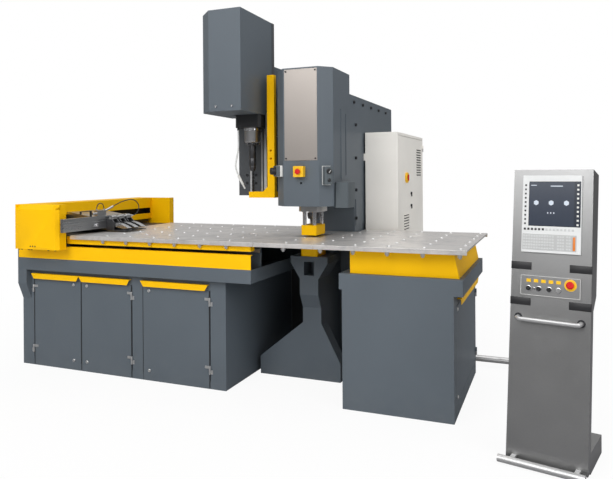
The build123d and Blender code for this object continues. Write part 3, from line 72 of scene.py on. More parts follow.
class Finish:  # one material, or the world, and its nodes
    def __init__(self, name, world=None, **sockets):
        self.material = world or bpy.data.materials.new(name)
        self.material.use_nodes = True
        self.tree = self.material.node_tree
        self.shader = self.tree.nodes["Background" if world else "Principled BSDF"]
        for key, value in sockets.items():
            self.shader.inputs[key.replace("_", " ")].default_value = value

    def node(self, kind, settings=None, links=None, out=0):
        made = self.tree.nodes.new("ShaderNode" + kind)
        for key, value in (settings or {}).items():
            setattr(made, key, value)
        for key, value in (links or {}).items():
            self.put(made.inputs[key], value)
        return Value(self, made.outputs[out])

    def put(self, socket, value):
        if isinstance(value, Value):
            self.tree.links.new(value.socket, socket)
        else:
            socket.default_value = value

    def feed(self, **links):
        for key, value in links.items():
            self.put(self.shader.inputs[key.replace("_", " ")], value)
        return self.material

    def place(self, scale=(1, 1, 1)):
        spot = self.node("TexCoord", out="Object")
        return self.node("Mapping", {}, {"Vector": spot, "Scale": scale})

    def noise(self, scale, detail=3, rough=0.55, stretch=(1, 1, 1)):
        links = {"Vector": self.place(stretch), "Scale": scale, "Detail": detail, "Roughness": rough}
        return self.node("TexNoise", {}, links)

    def band(self, value, low, high):  # 0 below low, 1 above high
        links = {"Value": value, "From Min": low, "From Max": high}
        return self.node("MapRange", {"clamp": True}, links)

    def mix(self, share, first, second):
        settings = {"data_type": "RGBA"}
        return self.node("Mix", settings, {"Factor": share, 6: first, 7: second}, out=2)

    def bump(self, height, strength, distance):
        return self.node("Bump", {}, {"Height": height, "Strength": strength, "Distance": distance})

    def axis(self, name):
        spot = self.node("TexCoord", out="Object")
        return self.node("SeparateXYZ", {}, {"Vector": spot}, out=name)


def tint(colour, share):
    return tuple(min(1, c * share) for c in colour) + (1,)


# Painted sheet: orange peel, faint clouding, dust low down, fine scuffs; an optional box on X, Y, Z is
# painted near black as shade in a hollow
def paintedSheet(name, colour, rough, peel, dust, shine=0.4, shadeBox=None):
    made = Finish(name, Specular_IOR_Level=shine)
    cloud = made.noise(2.2, 4)
    speck = made.noise(900, 1)
    scuff = made.band(made.noise(38, 5, 0.7, (1, 1, 0.12)), 0.68, 0.78)
    low = 1 - made.band(made.axis("Z"), 0.0, 0.22)
    grime = low * made.band(made.noise(9, 4), 0.35, 0.75) * dust
    base = made.mix(cloud, tint(colour, 0.9), tint(colour, 1.08))
    base = made.mix(scuff * 0.10, base, (0.6, 0.6, 0.58, 1))
    base = made.mix(grime, base, (0.30, 0.29, 0.27, 1))
    # Painted shade: surfaces inside the box turn near black, as a recess lying in shade
    if shadeBox:
        inShade = 1
        for axisName, (start, end) in zip("XYZ", shadeBox):
            spot = made.axis(axisName)
            inShade = (spot > start) * (spot < end) * inShade
        base = made.mix(inShade, base, (0.012, 0.012, 0.013, 1))
    gloss = rough + (cloud - 0.5) * 0.12 + scuff * 0.12 + grime * 0.3
    return made.feed(Base_Color=base, Roughness=gloss, Normal=made.bump(speck, peel, 0.0006))


# Brushed metal: long fine lines along one axis, patches of handling
def brushedMetal(name, colour, rough, stretch, lines):
    made = Finish(name, Metallic=1.0)
    fine = made.noise(60, 4, 0.75, stretch)
    broad = made.noise(3.0, 3)
    marks = made.band(made.noise(11, 6, 0.7), 0.62, 0.8)
    base = made.mix(fine, tint(colour, 0.84), tint(colour, 1.12))
    base = made.mix(marks * 0.12, base, tint(colour, 0.6))
    gloss = rough + (fine - 0.5) * 0.22 + (broad - 0.5) * 0.16 + marks * 0.08
    return made.feed(Base_Color=base, Roughness=gloss, Normal=made.bump(fine, lines, 0.0003))


# Turned and ground parts: a fine grain and an oil film
def machinedMetal(name, colour, rough, metal=1.0, oil=0.35):
    made = Finish(name, Metallic=metal)
    grain = made.noise(420, 3)
    film = made.band(made.noise(14, 4, 0.6), 0.45, 0.75)
    base = made.mix(film * oil, tint(colour, 1.05), tint(colour, 0.62))
    gloss = rough + (grain - 0.5) * 0.14 + film * 0.10
    return made.feed(Base_Color=base, Roughness=gloss, Normal=made.bump(grain, 0.08, 0.0003))


def mouldedPlastic(name, colour, rough, grainSize=700, grain=0.1):
    made = Finish(name)
    pebble = made.noise(grainSize, 2)
    cloud = made.noise(12, 3)
    base = made.mix(cloud, tint(colour, 0.92), tint(colour, 1.06))
    gloss = rough + (pebble - 0.5) * 0.12 + (cloud - 0.5) * 0.08
    return made.feed(Base_Color=base, Roughness=gloss, Normal=made.bump(pebble, grain, 0.0004))


# Lit glass of the screen
def glowing(name, colour, strength):
    made = Finish(name, Roughness=0.2, Emission_Strength=strength)
    haze = made.noise(60, 2)
    base = made.mix(haze, tint(colour, 0.9), tint(colour, 1.05))
    return made.feed(Base_Color=base, Emission_Color=base)


# Table plate: ground steel with rolling lines, scratches and stains
def tableFinish():
    made = Finish("tableSteel", Metallic=0.55)
    rolled = made.noise(26, 5, 0.7, (0.06, 1, 1))
    drag = made.band(made.noise(60, 6, 0.8, (0.05, 1, 1)), 0.60, 0.70)
    stain = made.band(made.noise(5.5, 5, 0.65), 0.46, 0.70)
    base = made.mix(rolled, (0.66, 0.635, 0.615, 1), (0.88, 0.85, 0.825, 1))
    base = made.mix(stain * 0.45, base, (0.20, 0.215, 0.23, 1))
    base = made.mix(drag * 0.35, base, (0.78, 0.78, 0.78, 1))
    gloss = 0.30 + (rolled - 0.5) * 0.16 + stain * 0.10 - drag * 0.08
    return made.feed(Base_Color=base, Roughness=gloss, Normal=made.bump(rolled + drag, 0.12, 0.0004))


yellow = (0.95, 0.52, 0.001)
# Box round the beam's slot, whose walls are painted near black as the shade inside it
beamSlotShade = ((-2.160, -2.0985), (-0.590, 0.803), (1.1935, 1.2505))
slatePaint = paintedSheet("slatePaint", (0.102, 0.123, 0.144), 0.46, 0.10, 0.08)
yellowPaint = paintedSheet("yellowPaint", yellow, 0.44, 0.08, 0.1, 0.12)
beamPaintSlotShade = paintedSheet("beamPaintSlotShade", yellow, 0.44, 0.08, 0.1, 0.12, beamSlotShade)
palePaint = paintedSheet("palePaint", (0.90, 0.875, 0.825), 0.5, 0.22, 0.1)
blackPaint = paintedSheet("blackPaint", (0.022, 0.023, 0.025), 0.42, 0.15, 0.3)
# Drill column: the slate paint darkened, as painted shade
columnShadedSlate = paintedSheet("columnShadedSlate", (0.068, 0.074, 0.082), 0.45, 0.12, 0.3)
stainless = brushedMetal("stainlessSheet", (0.37, 0.37, 0.37), 0.36, (1, 1, 26), 0.22)
plateAluminium = brushedMetal("plateAluminium", (0.45, 0.41, 0.38), 0.40, (1, 1, 22), 0.2)
barSteel = brushedMetal("barSteel", (0.50, 0.51, 0.52), 0.3, (1, 0.04, 1), 0.2)
machinedSteel = machinedMetal("machinedSteel", (0.50, 0.50, 0.50), 0.32)
brightSteel = machinedMetal("brightSteel", (0.72, 0.72, 0.73), 0.16, 1.0, 0.15)
satinSteel = machinedMetal("satinSteel", (0.60, 0.60, 0.60), 0.42, 0.85, 0.15)
toolSteel = machinedMetal("toolSteel", (0.10, 0.10, 0.105), 0.36, 0.9)
darkSteel = machinedMetal("darkSteel", (0.045, 0.046, 0.05), 0.45, 0.7)
redPlastic = mouldedPlastic("redPlastic", (0.62, 0.012, 0.012), 0.28, 300, 0.03)
yellowPlastic = mouldedPlastic("yellowPlastic", (0.90, 0.52, 0.01), 0.36)
orangePlastic = mouldedPlastic("orangePlastic", (0.72, 0.20, 0.02), 0.4)
blackPlastic = mouldedPlastic("blackPlastic", (0.016, 0.016, 0.018), 0.42)
boxGrey = mouldedPlastic("boxGrey", (0.086, 0.104, 0.116), 0.5)
greyPlastic = mouldedPlastic("greyPlastic", (0.055, 0.06, 0.07), 0.45)
whitePlastic = mouldedPlastic("whitePlastic", (0.72, 0.72, 0.70), 0.4)
ballWhite = mouldedPlastic("ballWhite", (0.93, 0.93, 0.92), 0.3)
bezelPlastic = mouldedPlastic("bezelPlastic", (0.70, 0.71, 0.71), 0.42, 500, 0.06)
fieldPlastic = mouldedPlastic("fieldPlastic", (0.47, 0.475, 0.475), 0.5, 500, 0.06)
keyPlastic = mouldedPlastic("keyPlastic", (0.56, 0.57, 0.57), 0.42)
hoseRubber = mouldedPlastic("hoseRubber", (0.014, 0.014, 0.015), 0.5, 1200, 0.2)
hoseWhite = mouldedPlastic("hoseWhite", (0.70, 0.71, 0.70), 0.32, 200, 0.02)
screenDark = glowing("screenDark", (0.014, 0.019, 0.030), 0.4)
screenPale = glowing("screenPale", (0.42, 0.46, 0.52), 0.5)
screenBlue = glowing("screenBlue", (0.019, 0.026, 0.042), 0.5)
tableSteel = tableFinish()
print("finishes:", len(bpy.data.materials))

finishOf = {
    slatePaint: "press_frame frame_side_covers head_cover drill_housing left_cabinet left_tray "
    "left_door_a left_door_b left_door_c right_cabinet right_door",
    yellowPaint: "stripper_block die_holder presser_arm table_aprons door_lips",
    beamPaintSlotShade: "feed_beam",
    palePaint: "control_cabinet control_door",
    blackPaint: "drill_carriage beam_saddles hydraulic_pack",
    columnShadedSlate: "drill_column",
    stainless: "console_body",
    plateAluminium: "head_nameplate",
    barSteel: "clamp_bar",
    satinSteel: "console_bars console_conduit hinge_barrels linear_rails",
    machinedSteel: "press_cylinder drill_spindle coolant_nozzle clamp_carriage clamp_cylinders "
    "console_key_switch",
    brightSteel: "punch_ram stripper_posts ball_units clamp_jaw_a clamp_jaw_b clamp_jaw_c",
    toolSteel: "punch_tool die drill_chuck clamp_bodies",
    tableSteel: "table_plates",
    redPlastic: "head_stop_button main_switch console_stop_button",
    yellowPlastic: "head_stop_box",
    blackPlastic: "console_start_button console_halt_button console_mode_switch",
    boxGrey: "head_junction_boxes",
    greyPlastic: "drive_rack",
    bezelPlastic: "console_screen",
    hoseRubber: "clamp_hose_large clamp_hose_small",
    hoseWhite: "coolant_hose",
}
for finish, names in finishOf.items():
    for name in names.split():
        nodes[name].data.materials.clear()
        nodes[name].data.materials.append(finish)

# Sheet and plate edges are rounded a little, as folded and ground metal is
edgeRound = {
    0.0025: "press_frame head_cover drill_housing left_cabinet left_tray right_cabinet control_cabinet "
    "feed_beam drill_column presser_arm",
    0.0015: "frame_side_covers left_door_a left_door_b left_door_c right_door control_door table_aprons "
    "door_lips table_plates",
    0.0012: "stripper_block die_holder press_cylinder drill_carriage drill_spindle clamp_bar "
    "clamp_carriage clamp_bodies head_junction_boxes head_stop_box console_screen",
}


def roundEdges(node, width):
    weld = node.modifiers.new("weld", "WELD")
    weld.merge_threshold = 0.00002
    flat = node.modifiers.new("flat", "DECIMATE")
    flat.decimate_type = "DISSOLVE"
    flat.angle_limit = math.radians(1)
    soft = node.modifiers.new("soft", "BEVEL")
    soft.width = width
    soft.segments = 2
    soft.limit_method = "ANGLE"
    soft.angle_limit = math.radians(40)
    soft.harden_normals = True


for width, names in edgeRound.items():
    for name in names.split():
        roundEdges(nodes[name], width)
print("carried nodes dressed:", sum(len(names.split()) for names in finishOf.values()))


def at(*spot):
    return Matrix.Translation(spot)


def spun(angle, axis="Z"):
    return Matrix.Rotation(angle, 4, axis)


# A place at spot whose Z points along the normal
def along(normal, spot):
    z = Vector(normal).normalized()
    x = Vector((0, 0, 1)).cross(z)
    x = Vector((1, 0, 0)) if x.length < 1e-5 else x.normalized()
    y = z.cross(x)
    turned = Matrix((x, y, z)).transposed().to_4x4()
    return at(*spot) @ turned


def bevel(bm, edges, width, segments):
    shape = {"segments": segments, "profile": 0.5, "affect": "EDGES", "material": -1}
    bmesh.ops.bevel(bm, geom=edges, offset=width, **shape)


def bevelAll(bm, verts, width, segments=2):
    sharp = 0.5  # radians
    edges = {e for v in verts for e in v.link_edges if len(e.link_faces) == 2}
    if width:
        bevel(bm, [e for e in edges if e.calc_face_angle(0) > sharp], width, segments)


def addBlock(bm, low, high, width=0.0, segments=2, matrix=None):
    size = [b - a for a, b in zip(low, high)]
    middle = [(a + b) / 2 for a, b in zip(low, high)]
    place = at(*middle) @ Matrix.Diagonal((*size, 1))
    made = bmesh.ops.create_cube(bm, size=1, matrix=(matrix or Matrix()) @ place)
    bevelAll(bm, made["verts"], width, segments)


def addCylinder(bm, matrix, radius, length, sides):
    place = matrix @ at(0, 0, length / 2)
    sizes = {"segments": sides, "radius1": radius, "radius2": radius, "depth": length}
    return bmesh.ops.create_cone(bm, cap_ends=True, matrix=place, **sizes)["verts"]


def addRod(bm, matrix, radius, length, sides=24, width=0.0):
    bevelAll(bm, addCylinder(bm, matrix, radius, length, sides), width)


def addTurned(bm, profile, matrix, steps=28):  # profile of (radius, height) pairs about local Z
    for v in bm.verts:
        v.tag = True
    rim = [bm.verts.new((r, 0, h)) for r, h in profile]
    edges = [bm.edges.new(pair) for pair in zip(rim, rim[1:])]
    turn = {"axis": (0, 0, 1), "cent": (0, 0, 0), "angle": 2 * math.pi, "use_merge": True}
    bmesh.ops.spin(bm, geom=rim + edges, steps=steps, **turn)
    bmesh.ops.remove_doubles(bm, verts=[v for v in bm.verts if not v.tag], dist=1e-6)
    verts = [v for v in bm.verts if not v.tag]
    bmesh.ops.recalc_face_normals(bm, faces=list({f for v in verts for f in v.link_faces}))
    bmesh.ops.transform(bm, matrix=matrix, verts=verts)


# Shares of a screw's or bolt's radius, and the socket's depth as a share of the height
capScrew = {"height": 0.9, "rim": (0.14, 0.1), "land": 0.3, "wall": 0.02, "socket": 0.6, "sides": 18}
hexBolt = {"washer": (1.3, 0.18), "height": 0.75, "edge": 0.08}


def addSocketScrew(bm, matrix, radius, height=None):
    height = height or radius * capScrew["height"]
    verts = addCylinder(bm, matrix, radius, height, capScrew["sides"])
    caps = {f for v in verts for f in v.link_faces if len(f.verts) > 4}
    top = max(caps, key=lambda f: (matrix.inverted() @ f.calc_center_median()).z)
    rim, rise = capScrew["rim"]
    steps = ((rim, radius * rise), (capScrew["land"], 0), (capScrew["wall"], -height * capScrew["socket"]))
    for inset, depth in steps:
        bmesh.ops.inset_region(bm, faces=[top], thickness=radius * inset, depth=depth)


def addHexBolt(bm, matrix, radius):
    wide, thick = hexBolt["washer"]
    addRod(bm, matrix, radius * wide, radius * thick)
    head = matrix @ at(0, 0, radius * thick)
    bevelAll(bm, addCylinder(bm, head, radius, radius * hexBolt["height"], 6), radius * hexBolt["edge"], 1)


def placed(name, data):
    made = bpy.data.objects.new(name, data)
    bpy.context.scene.collection.objects.link(made)
    return made


def meshObject(name, bm, material):
    mesh = bpy.data.meshes.new(name)
    bm.to_mesh(mesh)
    bm.free()
    mesh.materials.append(material)
    return placed(name, mesh)


def makePiece(name, material, shape, *values, body="machine"):
    bm = bmesh.new()
    shape(bm, *values)
    made = meshObject(name, bm, material)
    for polygon in made.data.polygons:
        polygon.use_smooth = True
    made.data.set_sharp_from_angle(angle=math.radians(35))
    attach(made, body)
    return made


def piece(material, body="machine"):  # the function below it shapes and names the piece
    return lambda shape: makePiece(shape.__name__, material, shape, body=body)


# Hoses: the same routes as the solids, each one smooth line
def hoseCurve(name, points, radius, material, body, node):
    curve = bpy.data.curves.new(name, "CURVE")
    curve.dimensions = "3D"
    curve.bevel_depth = radius
    curve.use_fill_caps = True
    line = curve.splines.new("NURBS")
    line.points.add(len(points) - 1)
    for spot, point in zip(line.points, points):
        spot.co = (*point, 1)
    line.order_u = 3
    line.use_endpoint_u = True
    curve.materials.append(material)
    tube = placed(name, curve)
    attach(tube, body)
    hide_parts(node)


coolant = {
    "start": (-0.519, 0.0, 1.950), "radius": 0.006, "length": 0.373,
    "points": (
        (-0.098, -0.060, -0.020), (-0.098, -0.060, -0.060), (-0.094, -0.064, -0.110),
        (-0.092, -0.070, -0.164), (-0.100, -0.076, -0.220), (-0.112, -0.080, -0.276),
        (-0.114, -0.078, -0.334), (-0.092, -0.066, -0.386),
    ),
}
airLine = {
    "radius": 0.004, "loopLength": 0.489, "archLength": 0.171, "turns": 5, "rise": 0.029,
    "ports": ((-1.815, -0.323, 1.284), (-1.815, -0.233, 1.284)), "pipeEnd": (-1.760, 0.056, 1.222),
    "loop": (
        (0.0, 0.0, 0.0), (0.0, 0.050, 0.0), (0.0, 0.096, 0.026), (0.0, 0.118, 0.074), (-0.012, 0.096, 0.122),
        (-0.028, 0.044, 0.144), (-0.042, -0.016, 0.134), (-0.052, -0.072, 0.122), (-0.055, -0.126, 0.104),
        (-0.055, -0.176, 0.088),
    ),
}


def archRoute(start, end):
    start, end = Vector(start), Vector(end)
    middle, half = (start + end) / 2, (end - start) / 2
    turn = math.pi / airLine["turns"]
    reach = 1 / math.cos(turn / 2)
    points = [start]
    for n in range(airLine["turns"]):
        angle = math.pi - turn * (n + 0.5)
        lift = airLine["rise"] + half.length * reach * (math.sin(angle) - math.sin(turn / 2))
        points.append(middle + half * (reach * math.cos(angle)) + Vector((0, 0, lift)))
    return points + [end]


coolantRoute = [Vector(coolant["start"]) + Vector(p) for p in coolant["points"]]
loopRoute = [Vector(airLine["pipeEnd"]) + Vector(p) for p in airLine["loop"]]
archPoints = archRoute(*airLine["ports"])
hoseCurve("coolantLine", coolantRoute, coolant["radius"], hoseWhite, "drill_head", "coolant_hose")
hoseCurve("airLineLarge", loopRoute, airLine["radius"], hoseRubber, "clamps", "clamp_hose_large")
hoseCurve("airLineSmall", archPoints, airLine["radius"], hoseRubber, "clamps", "clamp_hose_small")
print("hoses: 3")

# Ball units in the same rows as the solids: a satin ring and a white ball, nuts below the front edge
balls = {
    "top": 1.100, "proud": 0.006, "ball": 0.0115, "ring": 0.016, "pitch": 0.220, "front": -0.520,
    "fields": ((-1.542, -0.446, 0.733), (0.272, 1.192, 0.550)),  # left, right, rear
    "middle": (0.0, -0.170), "drill": (-0.519, 0.052), "cut": 0.004,
    "underside": 1.088, "nutLine": -0.571, "nut": (0.016, 0.044),
}


def evenPlaces(start, end, pitch):
    count = max(1, round((end - start) / pitch))
    return [start + (end - start) * n / count for n in range(count + 1)]


def ballSpots():
    front, pitch = balls["front"], balls["pitch"]
    x, rear = balls["middle"]
    spots = [(x, y) for y in evenPlaces(front, rear, pitch)]
    for left, right, rear in balls["fields"]:
        spots += [(x, y) for x in evenPlaces(left, right, pitch) for y in evenPlaces(front, rear, pitch)]
    drillX, clear = balls["drill"]
    return [(x, y) for x, y in spots if math.hypot(x - drillX, y) > clear]


@piece(satinSteel)
def ballRings(bm):
    ring, ball = balls["ring"], balls["ball"]
    profile = (
        (ring, -0.0005), (ring, 0.0012), (ring - 0.0015, 0.002), (ball * 0.95, 0.0026), (ball * 0.9, -0.0005),
    )
    for x, y in ballSpots():
        addTurned(bm, profile, at(x, y, balls["top"]), 14)


@piece(satinSteel)
def edgeNuts(bm):
    radius, drop = balls["nut"]
    for x, y in ballSpots():
        if y == balls["front"]:
            nut = along((0, 0, -1), (x, balls["nutLine"], balls["underside"]))
            addRod(bm, nut, radius, drop * 0.8, 6, 0.0008)
            addRod(bm, nut, radius * 0.6, drop, 16, 0.001)


@piece(ballWhite)
def ballTops(bm):
    radius = balls["ball"]
    for x, y in ballSpots():
        place = at(x, y, balls["top"] + balls["proud"] - radius)
        made = bmesh.ops.create_uvsphere(bm, u_segments=12, v_segments=8, radius=radius, matrix=place)
        hidden = [v for v in made["verts"] if v.co.z < balls["top"] - balls["cut"]]
        bmesh.ops.delete(bm, geom=hidden, context="VERTS")


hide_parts("ball_units")
print("ball units:", len(ballSpots()))


def screwRow(xs, ys, zs, way, radius):  # place, outward direction, radius
    return [((x, y, z), way, radius) for x in xs for y in ys for z in zs]


def coverScrews(side):
    face, radius = side * 0.206, 0.013
    row = screwRow((face,), (0.397, 0.645, 0.897, 1.151, 1.406), (2.165,), (side, 0, 0), radius)
    return row + screwRow((face,), (0.440, 1.615), (1.211, 1.443, 1.708, 1.981), (side, 0, 0), radius)


front = (0, -1, 0)
screws = {
    "bright": screwRow((-0.607, -0.472), (-0.424,), (2.086,), front, 0.009)
    + screwRow((-0.075, 0.075), (-0.030, 0.030), (1.290,), (0, 0, -1), 0.007),
    "dark": coverScrews(-1) + coverScrews(1)
    + screwRow((-0.117, 0.117), (-0.246,), (1.692, 2.338), front, 0.006)
    + screwRow((-0.632, -0.550), (0.120,), (1.507, 1.573), front, 0.009)
    + screwRow((-0.235, -0.275), (0.290,), (1.56, 1.74, 1.96, 2.14), front, 0.010),
}


def addScrews(bm, kind):
    for spot, way, radius in screws[kind]:
        addSocketScrew(bm, along(way, spot), radius)


makePiece("brightScrews", brightSteel, addScrews, "bright")
makePiece("darkScrews", darkSteel, addScrews, "dark")

# Frame anchors on the base plate
anchors = {"x": 0.245, "ys": (0.550, 1.550), "top": 0.025, "radius": 0.016}


@piece(machinedSteel)
def anchorBolts(bm):
    for side in (-1, 1):
        for y in anchors["ys"]:
            addHexBolt(bm, at(side * anchors["x"], y, anchors["top"]), anchors["radius"])


# Insert plate round the die, held by four screws
insert = {
    "half": (0.105, 0.150), "hole": 0.0445, "top": 1.1012, "thick": 0.0012,
    "screws": ((0.085, 0.130), (0.085, -0.130), (-0.085, 0.130), (-0.085, -0.130)),
    "screw": (0.0075, 0.0014, 0.0004),  # radius, height, how far it is sunk
}


@piece(machinedSteel)
def dieInsert(bm):
    x, y = insert["half"]
    inner = bmesh.ops.create_circle(bm, cap_ends=False, segments=40, radius=insert["hole"])["verts"]
    corners = [bm.verts.new((sx * x, sy * y, 0)) for sx, sy in ((1, 1), (-1, 1), (-1, -1), (1, -1))]
    loop = [bm.edges.new((corners[n], corners[(n + 1) % 4])) for n in range(4)]
    ring = list({e for v in inner for e in v.link_edges})
    bmesh.ops.triangle_fill(bm, use_beauty=True, edges=loop + ring)
    bmesh.ops.translate(bm, vec=(0, 0, insert["top"]), verts=bm.verts)
    bmesh.ops.recalc_face_normals(bm, faces=bm.faces)
    if sum(f.normal.z for f in bm.faces) < 0:
        bmesh.ops.reverse_faces(bm, faces=bm.faces)
    bmesh.ops.solidify(bm, geom=bm.faces[:], thickness=insert["thick"])
    radius, height, sunk = insert["screw"]
    for spot in insert["screws"]:
        addSocketScrew(bm, at(*spot, insert["top"] - sunk), radius, height)


# Round locks of the cabinet doors, with a swing grip on the switch cabinet
locks = {
    "profile": ((0.013, 0), (0.013, 0.002), (0.010, 0.0055), (0.0085, 0.0066), (0.0075, 0.0060), (0, 0.0060)),
    "grip": ((-0.006, -0.030, 0.004), (0.006, 0.012, 0.014), 0.003),
    "doors": {  # x, y, two heights, outward direction
        "door_a": (-1.896, -0.5086, (0.690, 0.078), front),
        "door_b": (-1.760, -0.5086, (0.690, 0.078), front),
        "door_c": (-1.160, -0.5086, (0.690, 0.078), front),
        "side_door": (1.146, -0.378, (0.694, 0.124), (1, 0, 0)),
        "switch_door": (0.505, 1.170, (1.286, 1.397), (1, 0, 0)),
    },
}


def addLocks(bm, body):
    x, y, heights, way = locks["doors"][body]
    for z in heights:
        place = along(way, (x, y, z))
        addTurned(bm, locks["profile"], place)
        if body == "switch_door":
            addBlock(bm, *locks["grip"], 2, place)


for body in locks["doors"]:
    finish = blackPlastic if body == "switch_door" else satinSteel
    makePiece("locks_" + body, finish, addLocks, body, body=body)
print("locks:", sum(len(door[2]) for door in locks["doors"].values()))

# Doors: outer sheets that reach down over the plinth, black seals round their edges, hinge wings
doors = {
    "spans": {  # left, right, hinge side
        "door_a": (-2.315, -1.819, -1), "door_b": (-1.816, -1.320, 1), "door_c": (-1.217, -0.622, 1),
    },
    "face": -0.507, "sheet": 0.0016, "sheetBack": 0.0001, "fold": 0.0006, "seal": 0.0004, "sealBack": 0.00005,
    "z": (0.006, 0.7215), "solid": (0.060, 0.720), "plinthTop": 0.059, "hingeGap": 0.009, "freeGap": 0.004,
    "wing": (0.001, 0.044), "wingTall": 0.020, "wingProud": 0.0026, "wingTops": (0.170, 0.670),
    "pinLine": -0.5143, "barrel": (0.0076, 0.0295, 0.0005),
}


def doorGaps(body):  # the two upright strips that the seals fill
    left, right, hinge = doors["spans"][body]
    first, last = doors["hingeGap"], doors["freeGap"]
    if hinge > 0:
        first, last = last, first
    return (left, left + first), (right - last, right)


def addSeals(bm, body, low, high):
    face = doors["face"]
    for start, end in doorGaps(body):
        addBlock(bm, (start, face - doors["seal"], low), (end, face - doors["sealBack"], high))


def addWings(bm, pin, hinge):
    outer = doors["face"] - doors["sheet"]
    start, end = sorted(pin - hinge * reach for reach in doors["wing"])
    radius, half, cap = doors["barrel"]
    for top in doors["wingTops"]:
        low = (start, outer - doors["wingProud"], top - doors["wingTall"])
        addBlock(bm, low, (end, outer, top), 0.0008, 1)
        addRod(bm, at(pin, doors["pinLine"], top - half), radius, half + cap, 20, 0.001)


def addSheet(bm, body):
    (_, start), (end, _) = doorGaps(body)
    outer, inner = doors["face"] - doors["sheet"], doors["face"] - doors["sheetBack"]
    low, high = doors["z"]
    addBlock(bm, (start, outer, low), (end, inner, high), doors["fold"], 1)


for body, (left, right, hinge) in doors["spans"].items():
    makePiece("sheet_" + body, slatePaint, addSheet, body, body=body)
    makePiece("seal_" + body, hoseRubber, addSeals, body, *doors["solid"], body=body)
    makePiece("wings_" + body, satinSteel, addWings, left if hinge < 0 else right, hinge, body=body)


@piece(hoseRubber)
def plinthSeals(bm):
    for body in doors["spans"]:
        addSeals(bm, body, doors["z"][0], doors["plinthTop"])


# Lips over the doors: a flange and an upright skirt with slanted ends
lips = {
    "top": 0.768, "drop": 0.044, "reach": 0.030, "sheet": 0.004, "slope": 0.026, "gap": 0.004,
    "side": (1.146, -0.398, 0.536),  # face, front, rear
}


def addLip(bm, low, high, place):
    reach, sheet, top = lips["reach"], lips["sheet"], lips["top"]
    bottom = top - lips["drop"]
    addBlock(bm, (low, -reach, top - sheet), (high, 0, top), 0.0008, 1, place)
    for v in bm.verts:
        v.tag = True
    addBlock(bm, (low, -reach, bottom), (high, sheet - reach, top - sheet / 2), 0.0, 1, place)
    middle = place @ Vector(((low + high) / 2, 0, 0))
    edge = [v for v in bm.verts if not v.tag and v.co.z < top - lips["drop"] / 2]
    share = 1 - 2 * lips["slope"] / (high - low)
    bmesh.ops.scale(bm, vec=(share, share, 1), space=Matrix.Translation(-middle), verts=edge)


@piece(yellowPaint)
def lipSheets(bm):
    for left, right, _ in doors["spans"].values():
        addLip(bm, left - lips["gap"], right - lips["gap"], at(0, doors["face"], 0))
    face, start, end = lips["side"]
    addLip(bm, start, end, at(face, 0, 0) @ spun(math.radians(90)))


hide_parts("door_lips")
print("doors dressed:", len(doors["spans"]))

# Head boxes: white base plates on the chamfers, plug on the left, turn switch and lamp on the right
headBoxes = {
    "left": (-0.1825, -0.2005, 1.600), "right": (0.1825, -0.2005, 1.565),
    "leftDepth": 0.046, "rightDepth": 0.052,
    "plate": (0.043, 0.042, 0.020), "thin": (0.034, 0.070, 0.007), "knobUp": 0.030, "lampUp": -0.034,
    "pointer": ((-0.002, -0.012, 0.0138), (0.002, 0.012, 0.0148)), "pointerTurn": -0.7,
    "plug": ((0.031, 0), (0.031, 0.008), (0.027, 0.010), (0.027, 0.030), (0.024, 0.034), (0, 0.034)),
    "knob": ((0.021, 0), (0.021, 0.003), (0.016, 0.004), (0.0145, 0.014), (0, 0.014)),
    "lamp": ((0.013, 0), (0.013, 0.004), (0.010, 0.007), (0, 0.008)),
}


def headSeat(side, up=0.0, depth=0.0):
    return along((-1, -1, 0) if side == "left" else (1, -1, 0), headBoxes[side]) @ at(0, up, depth)


@piece(whitePlastic)
def headBoxPlates(bm):
    for side, (x, y, z) in (("left", headBoxes["plate"]), ("right", headBoxes["thin"])):
        addBlock(bm, (-x, -y, 0), (x, y, z), 0.002, 2, headSeat(side))
    knob = headSeat("right", headBoxes["knobUp"], headBoxes["rightDepth"])
    addBlock(bm, *headBoxes["pointer"], 0.0, 1, knob @ spun(headBoxes["pointerTurn"]))


@piece(blackPlastic)
def headBoxFittings(bm):
    addTurned(bm, headBoxes["plug"], headSeat("left", 0, headBoxes["leftDepth"]))
    addTurned(bm, headBoxes["knob"], headSeat("right", headBoxes["knobUp"], headBoxes["rightDepth"]))
    addTurned(bm, headBoxes["lamp"], headSeat("right", headBoxes["lampUp"], headBoxes["rightDepth"]), 20)


print("head boxes dressed")

# Beam: bolts below the end boxes, square ends on their bevels, plugs in the drain holes
beam = {
    "boltXs": (-2.290, -2.262, -2.190, -2.160, -1.985, -1.915), "boltYs": (-0.682, 0.895),
    "boltZ": 0.991, "bolt": 0.008,
    "left": -2.314, "right": -1.878, "face": -0.700, "top": 1.349, "bevel": 0.040, "corner": 0.024,
    "ends": (0.012, 0.039), "mirror": 0.213,  # widths of the end plates, front Y plus rear Y
    "drainXs": (-2.155, -2.131, -2.107), "drainZ": 1.015, "drain": (0.0066, 0.0046, 0.004),
}


@piece(darkSteel, "beam")
def beamBolts(bm):
    for x in beam["boltXs"]:
        for y in beam["boltYs"]:
            addHexBolt(bm, along((0, 0, -1), (x, y, beam["boltZ"])), beam["bolt"])


@piece(beamPaintSlotShade, "beam")
def beamEnds(bm):
    left, right, face, top = beam["left"], beam["right"], beam["face"], beam["top"]
    narrow, wide = beam["ends"]
    inner, low = face + beam["bevel"], top - beam["bevel"]
    for rear in (False, True):
        start, end = (beam["mirror"] - inner, beam["mirror"] - face) if rear else (face, inner)
        addBlock(bm, (left, start, low), (left + narrow, end, top), 0.001, 1)
        for v in bm.verts:
            v.tag = True
        addBlock(bm, (right - wide, start, low), (right, end, top))
        outer = end if rear else start
        fresh = [e for e in bm.edges if not (e.verts[0].tag or e.verts[1].tag)]
        cut = [e for e in fresh if all(math.hypot(v.co.x - right, v.co.y - outer) < 1e-5 for v in e.verts)]
        bevel(bm, cut, beam["corner"], 1)


